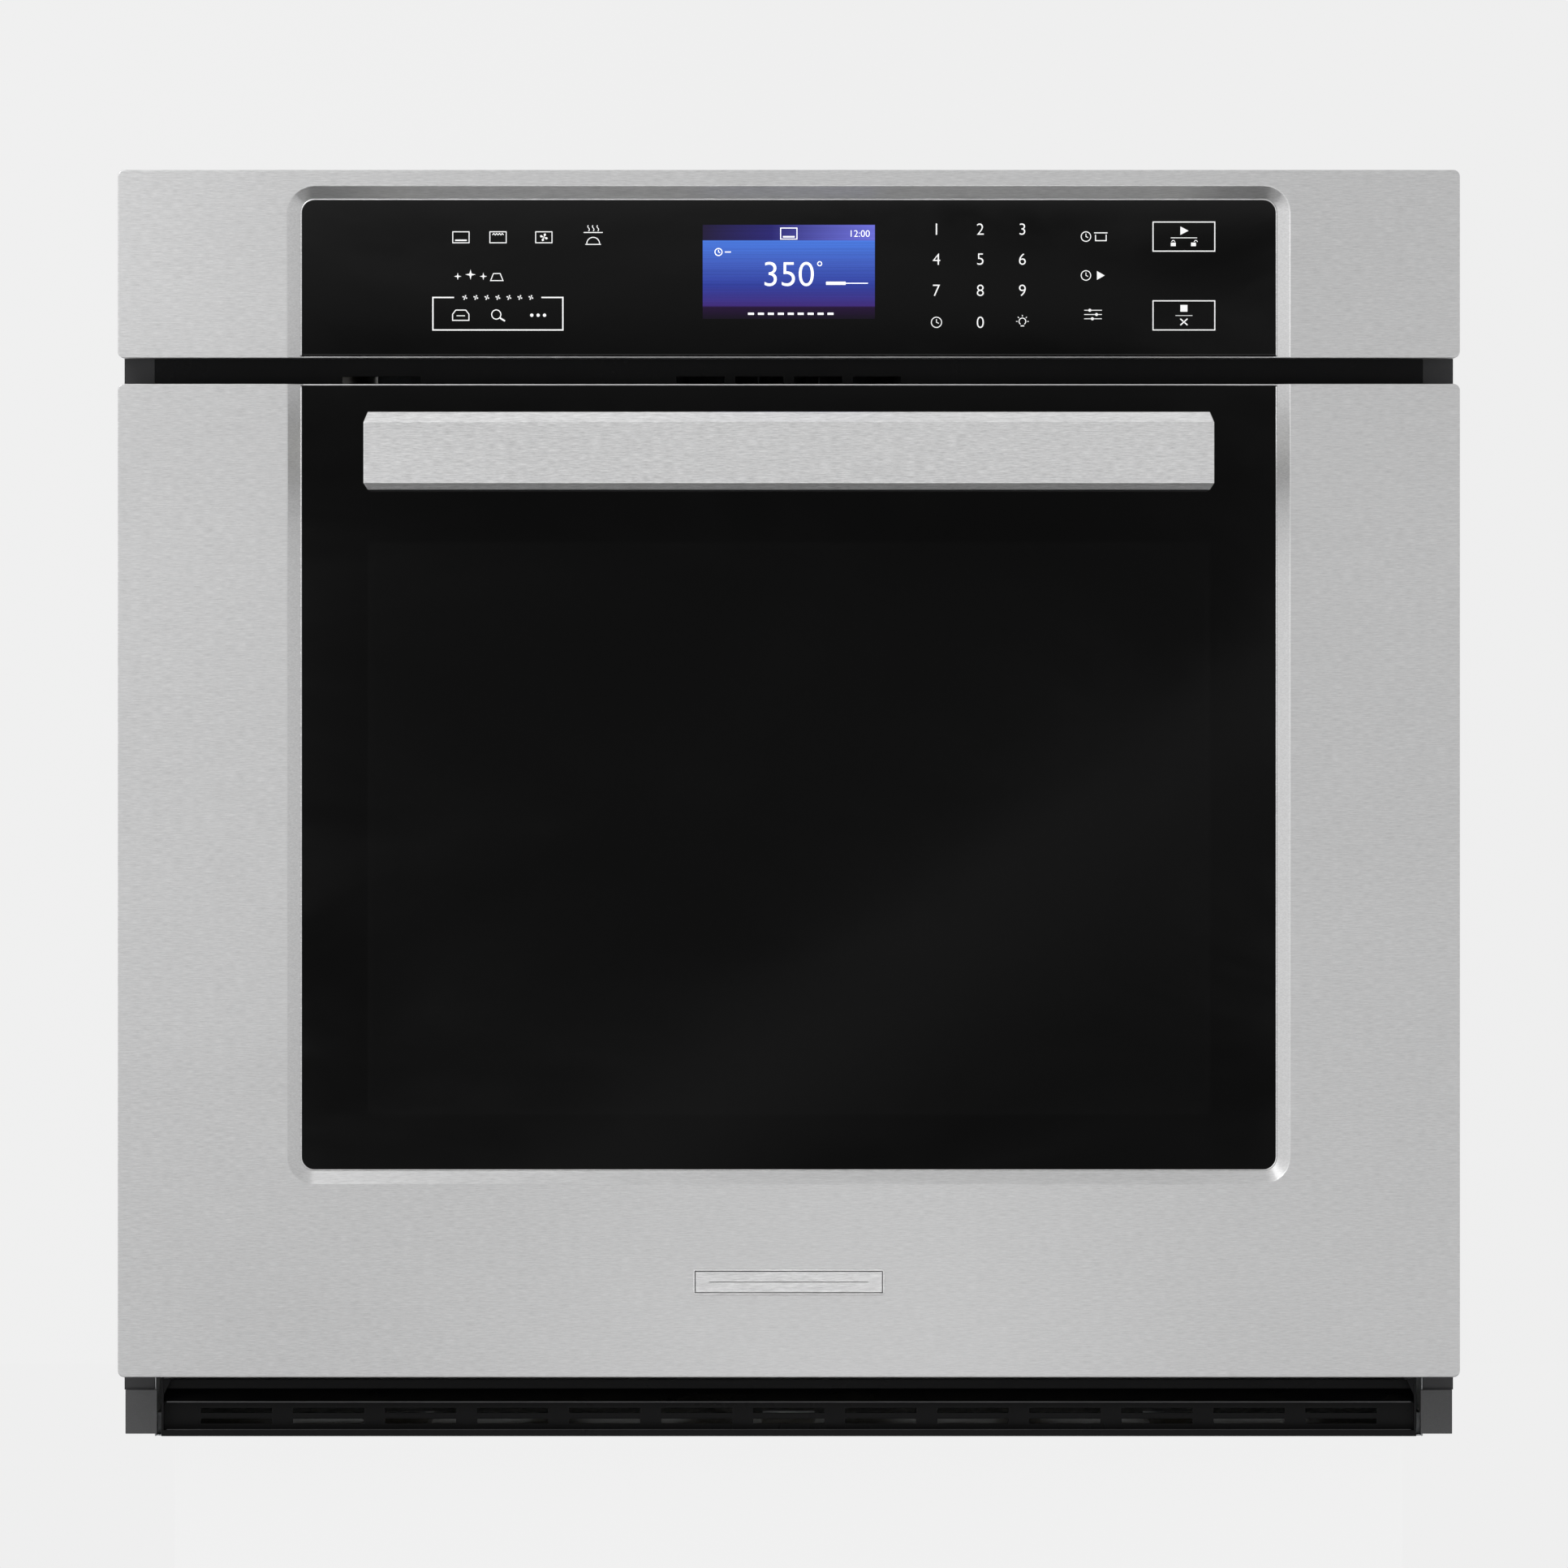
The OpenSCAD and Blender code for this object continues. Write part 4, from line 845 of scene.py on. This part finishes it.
class Marks:
    """Flat marks in the X and Z plane, given in millimetres from a centre."""

    THINNER = -0.009

    def __init__(self, centre, y):
        self.mesh = bmesh.new()
        self.centre = centre
        self.y = y

    def point(self, x, z):
        return self.mesh.verts.new((self.centre.x + x * MM, self.y, self.centre.z + z * MM))

    def patch(self, outline):
        self.mesh.faces.new([self.point(x, z) for x, z in outline])

    def line(self, points, width, closed=False):
        """A band of that width along the points, with mitred corners."""
        count = len(points)
        left = []
        right = []
        for i, (x, z) in enumerate(points):
            here = Vector((x, z))
            before = Vector(points[i - 1]) if closed or i else here
            after = Vector(points[(i + 1) % count]) if closed or i + 1 < count else here
            into = (here - before).normalized() if before != here else (after - here).normalized()
            out = (after - here).normalized() if after != here else into
            across = Vector((-(into + out).y, (into + out).x)).normalized()
            reach = width / 2 / max(0.3, across.dot(Vector((-into.y, into.x))))
            left.append(self.point(*(here + across * reach)))
            right.append(self.point(*(here - across * reach)))
        for i in range(count if closed else count - 1):
            j = (i + 1) % count
            self.mesh.faces.new((right[i], right[j], left[j], left[i]))

    def frame(self, x, z, half_w, half_h, width):
        """A rectangle's outline."""
        self.line([(x - half_w, z - half_h), (x + half_w, z - half_h), (x + half_w, z + half_h),
                   (x - half_w, z + half_h)], width, True)

    def arc(self, x, z, radius, width, start=0, end=360, steps=24):
        full = end - start == 360
        count = steps if full else steps + 1
        angles = [math.radians(start + (end - start) * i / steps) for i in range(count)]
        self.line([(x + radius * math.cos(a), z + radius * math.sin(a)) for a in angles], width, full)

    def dot(self, x, z, radius, sides=20):
        angles = [2 * math.pi * i / sides for i in range(sides)]
        self.patch([(x + radius * math.cos(a), z + radius * math.sin(a)) for a in angles])

    def bar(self, x, z):
        self.patch([(x[0], z[0]), (x[1], z[0]), (x[1], z[1]), (x[0], z[1])])

    def star(self, x, z, size):
        """A sparkle with four points."""
        reach = [size, size * 0.28]
        self.patch([(x + reach[i % 2] * math.cos(math.radians(45 * i)),
                     z + reach[i % 2] * math.sin(math.radians(45 * i))) for i in range(8)])

    def figures(self, text, x, z, height, ends_at_x=False):
        """Plain numerals of that height, on the mark's plane, centred on x or ending there."""
        curve = bpy.data.curves.new("figures", "FONT")
        curve.body = text
        curve.offset = self.THINNER
        holder = bpy.data.objects.new("figures", curve)
        bpy.context.scene.collection.objects.link(holder)
        bpy.context.view_layer.update()
        flat = bpy.data.meshes.new_from_object(holder.evaluated_get(bpy.context.evaluated_depsgraph_get()))
        xs = [v.co.x for v in flat.vertices]
        ys = [v.co.y for v in flat.vertices]
        scale = height * MM / (max(ys) - min(ys))
        anchor = max(xs) if ends_at_x else (min(xs) + max(xs)) / 2
        place = (Matrix.Translation((self.centre.x + x * MM, self.y, self.centre.z + z * MM))
                 @ Matrix.Rotation(math.radians(90), 4, "X") @ Matrix.Scale(scale, 4)
                 @ Matrix.Translation((-anchor, -(min(ys) + max(ys)) / 2, 0)))
        flat.transform(place)
        self.mesh.from_mesh(flat)
        bpy.data.objects.remove(holder)
        bpy.data.curves.remove(curve)
        bpy.data.meshes.remove(flat)

    def finish(self, name, body, material, thickness):
        obj = piece(name, self.mesh, body, material)
        obj.data.shade_flat()
        solid = obj.modifiers.new("solid", "SOLIDIFY")
        solid.thickness = thickness * MM
        solid.offset = -1.0


def cavity_sign(marks, x, z):
    """The outline of an oven chamber, which most oven signs start from."""
    marks.frame(x, z, 4.6, 3.1, STROKE)


def fan_sign(marks, x, z, size):
    """Four blades round a hub."""
    for turn in range(4):
        a = math.radians(90 * turn + 45)
        b = math.radians(90 * turn + 90)
        marks.patch([(x, z), (x + size * 0.75 * math.cos(a), z + size * 0.75 * math.sin(a)),
                     (x + size * math.cos((a + b) / 2), z + size * math.sin((a + b) / 2)),
                     (x + size * 0.8 * math.cos(b), z + size * 0.8 * math.sin(b))])


def clock_sign(marks, x, z, radius):
    marks.arc(x, z, radius, STROKE)
    marks.line([(x, z + radius * 0.62), (x, z), (x + radius * 0.45, z - radius * 0.2)], THIN_STROKE)


def lock_sign(marks, x, z, is_open):
    """A padlock, closed or open."""
    marks.bar((x - 1.4, x + 1.4), (z - 1.5, z + 0.5))
    shift = 1.3 if is_open else 0.0
    marks.arc(x + shift, z + 0.9, 0.85, 0.42, 0, 180, 10)


def function_signs(marks):
    """Signs of the cooking functions, left of the display."""
    row = 19.5
    bake, broil, convection, warm = -184.7, -163.8, -138.0, -110.2
    cavity_sign(marks, bake, row)
    marks.bar((bake - 3.3, bake + 3.3), (row - 2.1, row - 1.3))
    cavity_sign(marks, broil, row)
    marks.line([(broil - 3.2 + 0.8 * i, row + (2.2 if i % 2 else 1.3)) for i in range(9)], THIN_STROKE)
    cavity_sign(marks, convection, row)
    fan_sign(marks, convection, row, 2.4)
    marks.line([(warm - 5.4, row + 2.7), (warm + 5.4, row + 2.7)], STROKE)
    for i in (-1, 0, 1):
        steam = [(warm + 2.6 * i + 0.5 * math.sin(step), row + 3.5 + 0.55 * step) for step in range(7)]
        marks.line(steam, THIN_STROKE)
    marks.arc(warm, row - 3.6, 3.6, STROKE, 0, 180, 16)
    marks.line([(warm - 4.4, row - 4.0), (warm + 4.4, row - 4.0)], STROKE)
    for i in range(3):
        marks.star(-186.5 + 7.2 * i, -2.5 + (1.0 if i == 1 else 0.0), 2.9 if i == 1 else 2.1)
    marks.line([(-168.0, -4.9), (-166.4, -0.9), (-162.6, -0.9), (-161.0, -4.9)], STROKE, True)


def conversion_box(marks):
    """The framed group below, with a gap in its upper edge for a row of small fans."""
    left, right, low, high = -200.5, -127.3, -32.7, -14.4
    gap = (-188.6, -139.4)
    marks.line([(gap[0], high), (left, high), (left, low), (right, low), (right, high), (gap[1], high)],
               0.75)
    for i in range(7):
        fan_sign(marks, -182.5 + 6.2 * i, high, 1.5)
    row = -24.4
    marks.line([(-189.4, row - 2.9), (-189.4, row + 0.6), (-187.6, row + 2.9), (-182.0, row + 2.9),
                (-180.2, row + 0.6), (-180.2, row - 2.9)], 0.55, True)
    marks.line([(-187.2, row - 0.3), (-182.4, row - 0.3)], THIN_STROKE)
    marks.arc(-164.8, row + 0.4, 2.6, 0.55)
    marks.line([(-162.9, row - 1.4), (-159.9, row - 3.3)], 0.9)
    for i in (-1, 0, 1):
        marks.dot(-141.2 + 3.6 * i, row, 0.95)


def number_keys(marks):
    columns = (83.2, 107.9, 131.6)
    rows = (24.1, 7.2, -10.4, -28.4)
    height = 6.4
    for number in range(9):
        marks.figures(str(number + 1), columns[number % 3], rows[number // 3], height)
    marks.figures("0", columns[1], rows[3], height)
    clock_sign(marks, columns[0], rows[3], 2.9)
    bulb = (columns[2], rows[3] + 0.5)
    marks.arc(*bulb, 1.9, 0.5, -55, 235, 18)
    marks.line([(bulb[0] - 1.0, bulb[1] - 2.5), (bulb[0] + 1.0, bulb[1] - 2.5)], 0.6)
    for angle in (0, 45, 90, 135, 180):
        a = math.radians(angle)
        marks.line([(bulb[0] + 2.7 * math.cos(a), bulb[1] + 2.7 * math.sin(a)),
                    (bulb[0] + 3.6 * math.cos(a), bulb[1] + 3.6 * math.sin(a))], 0.42)


def time_signs(marks):
    """Signs of the cooking time, the start time and the settings."""
    x = 171.4
    clock_sign(marks, x - 4.0, 19.9, 2.7)
    marks.line([(x + 1.4, 21.0), (x + 1.4, 17.6), (x + 7.4, 17.6), (x + 7.4, 21.0)], 0.55)
    marks.line([(x + 0.6, 22.0), (x + 8.2, 22.0)], 0.55)
    clock_sign(marks, x - 4.0, -2.0, 2.7)
    marks.patch([(x + 2.2, -4.5), (x + 6.6, -2.0), (x + 2.2, 0.5)])
    for i, knob in enumerate((-1.8, 2.0, -0.4)):
        z = -24.0 + 2.4 * (1 - i)
        marks.line([(x - 5.0, z), (x + 5.0, z)], 0.4)
        marks.dot(x + knob, z, 0.85)


def start_and_stop(marks):
    x = 222.6
    for z in (19.9, -24.5):
        marks.frame(x, z, 17.4, 8.2, 0.6)
    marks.patch([(x - 2.0, 20.8), (x + 2.6, 23.2), (x - 2.0, 25.6)])
    marks.line([(x - 7.4, 19.2), (x + 7.4, 19.2)], 0.4)
    lock_sign(marks, x - 6.0, 16.0, False)
    lock_sign(marks, x + 5.4, 16.0, True)
    marks.bar((x - 2.0, x + 2.0), (-22.4, -18.6))
    marks.line([(x - 4.8, -24.6), (x + 4.8, -24.6)], 0.3)
    marks.line([(x - 2.0, -30.0), (x + 2.0, -26.4)], 0.7)
    marks.line([(x - 2.0, -26.4), (x - 0.35, -27.9)], 0.7)
    marks.line([(x + 0.35, -28.5), (x + 2.0, -30.0)], 0.7)


def display(centre, y):
    """The lit screen and what it shows: the set temperature, its range as a bar, and the time of day."""
    half_w = 48.5
    half_h = 26.5
    screen = Marks(centre, y)
    screen.bar((-half_w, half_w), (-half_h, half_h))
    screen.finish("display_screen", "root",
                  screen_light(centre, half_w * MM, half_h * MM).material, PRINT_DEPTH)
    shown = Marks(centre, y - PRINT_PROUD * MM)
    shown.figures("350", 0.2, -1.2, 13.6)
    shown.arc(17.4, 4.6, 1.15, 0.5)
    shown.figures("12:00", 45.6, 21.6, 3.7, True)
    shown.line([(21.0, -6.4), (44.6, -6.4)], 0.5)
    shown.bar((21.0, 32.0), (-7.3, -5.5))
    cavity_sign(shown, 0.0, 21.6)
    shown.bar((-3.3, 3.3), (19.4, 20.2))
    clock_sign(shown, -39.6, 11.2, 2.0)
    shown.line([(-36.0, 11.2), (-32.6, 11.2)], 0.6)
    for i in range(9):
        shown.bar((-23.0 + 5.6 * i, -19.6 + 5.6 * i), (-24.2, -23.0))
    shown.finish("display_figures", "root", figures_light().material, PRINT_DEPTH)


def control_panel():
    low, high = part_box("control_glass")
    centre = (low + high) / 2
    proud = low.y - PRINT_PROUD * MM
    marks = Marks(centre, proud)
    function_signs(marks)
    conversion_box(marks)
    number_keys(marks)
    time_signs(marks)
    start_and_stop(marks)
    marks.finish("panel_marks", "root", ink_with_painted_glow().material, PRINT_DEPTH)
    display(Vector((0.0, centre.y, centre.z)), proud)


def badge_border(finishes):
    """A raised border and a plain line on the blank badge."""
    low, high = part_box("badge_plate")
    centre = (low + high) / 2
    inset = 1.3
    raised = 0.14
    half_w = (high.x - low.x) / 2 / MM - inset
    half_h = (high.z - low.z) / 2 / MM - inset
    marks = Marks(centre, low.y - raised * MM)
    marks.frame(0, 0, half_w, half_h, STROKE)
    marks.line([(-half_w + 8, 0.0), (half_w - 8, 0.0)], 0.35)
    marks.finish("badge_border", "door", finishes["handle_steel"], raised)


# ------------------------------------------------------------------ studio

def plain(name, albedo, glow):
    """The stage's matt white, partly lit from itself, and faintly uneven."""
    f = Finish(name, grey(albedo), 0.9)
    cloud = f.noise((3, 3, 3), 3.0)
    f.tint(cloud, [(0.3, grey(albedo * 0.97)), (0.7, grey(albedo * 1.03))])
    f.set("Specular IOR Level", 0.0)
    f.set("Emission Color", (1.0, 1.0, 1.0, 1.0))
    f.set("Emission Strength", glow)
    return f


def floor_finish():
    """Matt near the oven, fading into the backdrop's even light further away."""
    fade_from = 1.1
    fade_to = 2.8
    f = plain("floor", 0.74, 0.0)
    away = f.add("VectorMath", {0: f.place}, operation="LENGTH")
    fade = f.add("MapRange", {"Value": away.outputs["Value"], "From Min": fade_from,
                              "From Max": fade_to}, interpolation_type="SMOOTHSTEP")
    glow = f.add("Emission", {"Color": (1.0, 1.0, 1.0, 1.0), "Strength": BACKDROP})
    mixed = f.add("MixShader", {0: fade.outputs["Result"], 1: f.shader.outputs["BSDF"],
                                2: glow.outputs["Emission"]})
    output = f.tree.nodes["Material Output"]
    f.tree.links.new(mixed.outputs["Shader"], output.inputs["Surface"])
    return f


def stage_object(name, mesh, material):
    data = bpy.data.meshes.new(name)
    mesh.to_mesh(data)
    mesh.free()
    obj = bpy.data.objects.new(name, data)
    bpy.context.scene.collection.objects.link(obj)
    paint(obj, material)
    return obj


def panels(name, outlines, material):
    """Flat panels of the stage, one for each outline."""
    mesh = bmesh.new()
    for outline in outlines:
        mesh.faces.new([mesh.verts.new(place) for place in outline])
    return stage_object(name, mesh, material)


def floor_and_plinth():
    """A wide floor, and a block that holds the oven up so that the open door hangs clear."""
    depth = -0.45
    inset = 0.01
    mesh = bmesh.new()
    bmesh.ops.create_circle(mesh, cap_ends=True, segments=96, radius=30.0)
    bmesh.ops.translate(mesh, verts=mesh.verts, vec=(0, 0, depth))
    stage_object("floor", mesh, floor_finish().material)
    low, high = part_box("base_pan")
    corners = [(low.x + inset, low.y + inset), (high.x - inset, low.y + inset),
               (high.x - inset, high.y - inset), (low.x + inset, high.y - inset)]
    front, *sides = [[(*a, 0.0), (*a, depth), (*b, depth), (*b, 0.0)]
                     for a, b in zip(corners, corners[1:] + corners[:1])]
    panels("plinth", sides, plain("plinth_white", 0.72, 0.0).material)
    # The plinth's top is near black: painted shade under the oven that keeps the view through the vent
    # strip dark
    panels("shelf", [[(*corner, 0.0) for corner in corners]], plain("shelf_dark_painted_shade", 0.02, 0.0).material)
    panels("plinth_front", [front], plain("plinth_front_white", 0.04, BACKDROP - 0.02).material)


def world_light():
    """An even pale surround: brighter on the left and above, dimmer on the right and from in front."""
    world = bpy.data.worlds.new("studio")
    world.use_nodes = True
    bpy.context.scene.world = world
    sky = Nodes(world.node_tree)
    place = sky.add("TexCoord").outputs["Generated"]
    axes = sky.add("SeparateXYZ", {"Vector": place}).outputs
    left = sky.calc("MINIMUM", axes["X"], 0.0)
    right = sky.calc("MAXIMUM", axes["X"], 0.0)
    in_front = sky.calc("MINIMUM", axes["Y"], 0.0)
    total = BACKDROP
    for side, gain in ((left, -0.32), (right, -0.08), (axes["Z"], 0.03), (in_front, 0.32)):
        total = sky.plus(sky.times(side, gain), total)
    sky.tree.links.new(total, sky.tree.nodes["Background"].inputs["Color"])


def softbox(name, at, towards, size, watts):
    light = bpy.data.lights.new(name, "AREA")
    light.shape = "RECTANGLE"
    light.size = size[0]
    light.size_y = size[1]
    light.energy = watts
    obj = bpy.data.objects.new(name, light)
    obj.location = at
    obj.rotation_euler = (Vector(towards) - Vector(at)).to_track_quat("-Z", "Y").to_euler()
    obj.visible_camera = False
    bpy.context.scene.collection.objects.link(obj)


def behind_camera():
    """Dark cloth behind the camera, with two paler sheets whose edges show in the black glass."""
    cloth_y = -12.0
    glass_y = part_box("door_glass")[0].y
    spread = 1 + (glass_y - cloth_y) / (glass_y + CAMERA_DISTANCE)

    def seen(x, z, y):
        """The place behind the camera that shows at x, z on the glass."""
        return (CAMERA_X + spread * (x * MM - CAMERA_X), y, CAMERA_Z + spread * (z * MM - CAMERA_Z))

    def sheet(name, outline, y, level, edge=None, reach=1.0, left=1.0):
        """A lit sheet. Its light falls off to `left` of itself, `reach` metres from the edge's line."""
        f = Finish(name, grey(0.0), 1.0)
        cloud = f.remap(f.noise((0.5, 0.5, 0.5), 2.0), 0.3, 0.7, 0.94, 1.06)
        if edge:
            start = Vector(seen(*edge[0], y))
            along = (Vector(seen(*edge[1], y)) - start).normalized()
            offset = f.add("VectorMath", {0: f.place, 1: start},
                           operation="SUBTRACT").outputs["Vector"]
            away = f.add("VectorMath", {0: offset, 1: (along.z, 0.0, -along.x)},
                         operation="DOT_PRODUCT").outputs["Value"]
            cloud = f.times(cloud, f.remap(away, 0.0, reach, 1.0, left))
        f.drive("Emission Color", cloud)
        f.set("Emission Strength", level)
        f.set("Specular IOR Level", 0.0)
        obj = panels(name, [[seen(x, z, y) for x, z in outline]], f.material)
        obj.visible_camera = False

    sheet("dark_cloth", [(-330, 90), (330, 90), (330, 730), (-330, 730)], cloth_y, 0.078)
    diagonal = [(-147, 151), (272, 451)]
    sheet("pale_sheet_low", [diagonal[0], (-330, 20), (330, 20), (330, 492), diagonal[1]],
          cloth_y + 0.05, 0.23, diagonal, 0.17, 0.33)
    arc = [(60, 706), (112, 697), (161, 678.5), (201.5, 658.5), (239, 635.5), (274, 610), (290, 598)]
    sheet("pale_sheet_high", [(-330, 600), (290, 598)] + list(reversed(arc[:-1])) + [(-330, 706)],
          cloth_y + 0.05, 0.20)


def lower_flag():
    """A dark flag low in front of the oven, seen by reflections alone: it darkens the downward bevels."""
    half_w = 0.8
    far, near = -0.9, -0.11
    level = -0.24
    outline = [(-half_w, far, level), (half_w, far, level), (half_w, near, level), (-half_w, near, level)]
    obj = panels("lower_flag", [outline], plain("flag", 0.0, 0.04).material)
    obj.visible_camera = False
    obj.visible_diffuse = False
    obj.visible_shadow = False
    obj.visible_transmission = False


def camera():
    data = bpy.data.cameras.new("camera")
    data.sensor_width = SENSOR
    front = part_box("control_fascia")[0].y
    data.lens = SENSOR * (CAMERA_DISTANCE + front) / VIEW_WIDTH
    data.clip_start = 0.1
    data.clip_end = 100.0
    obj = bpy.data.objects.new("camera", data)
    obj.location = (CAMERA_X, -CAMERA_DISTANCE, CAMERA_Z)
    obj.rotation_euler = (math.radians(90), 0.0, 0.0)
    bpy.context.scene.collection.objects.link(obj)
    bpy.context.scene.camera = obj


def studio():
    world_light()
    floor_and_plinth()
    behind_camera()
    lower_flag()
    softbox("key", (-0.80, -1.1, 1.30), (-0.3, 0, 0.65), (0.6, 0.6), 5.5)
    softbox("low_left", (-0.60, -0.85, -0.22), (-0.25, 0, 0.02), (0.4, 0.2), 0.4)
    softbox("low_right", (0.55, -0.85, -0.22), (0.2, 0, 0.02), (0.5, 0.2), 0.3)
    softbox("low_middle", (0.04, -1.30, -0.26), (0.0, 0, 0.30), (0.4, 0.2), 0.55)
    camera()
    bpy.context.scene.view_settings.view_transform = "Standard"


# ------------------------------------------------------------------ the oven

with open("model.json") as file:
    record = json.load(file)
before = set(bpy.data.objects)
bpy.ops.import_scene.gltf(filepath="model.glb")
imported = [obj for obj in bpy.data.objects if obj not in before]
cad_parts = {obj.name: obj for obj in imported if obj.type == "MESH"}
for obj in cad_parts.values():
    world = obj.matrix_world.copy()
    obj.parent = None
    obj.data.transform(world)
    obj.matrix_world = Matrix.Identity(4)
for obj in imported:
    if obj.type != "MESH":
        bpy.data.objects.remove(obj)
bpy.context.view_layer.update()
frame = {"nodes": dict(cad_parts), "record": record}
cad_nodes = frame["nodes"]
finishes = make_finishes()
dress_cad(frame, finishes)
paint(cad_nodes["door_glass"], window_glass().material)
control_panel()
badge_border(finishes)
gasket(finishes)
glass_beads(finishes)
louvre_highlight_beads(finishes)
window_frame(finishes)
rack("rack_wires_upper", "rack_upper", "rack_upper", finishes)
rack("rack_wires_lower", "rack_lower", "rack_lower", finishes)
rack_guide("left", finishes)
rack_guide("right", finishes)
screws("chassis_cross_screws", "chassis_screws", "root", finishes)
screws("door_cross_screws", "door_screws", "door", finishes)
studio()
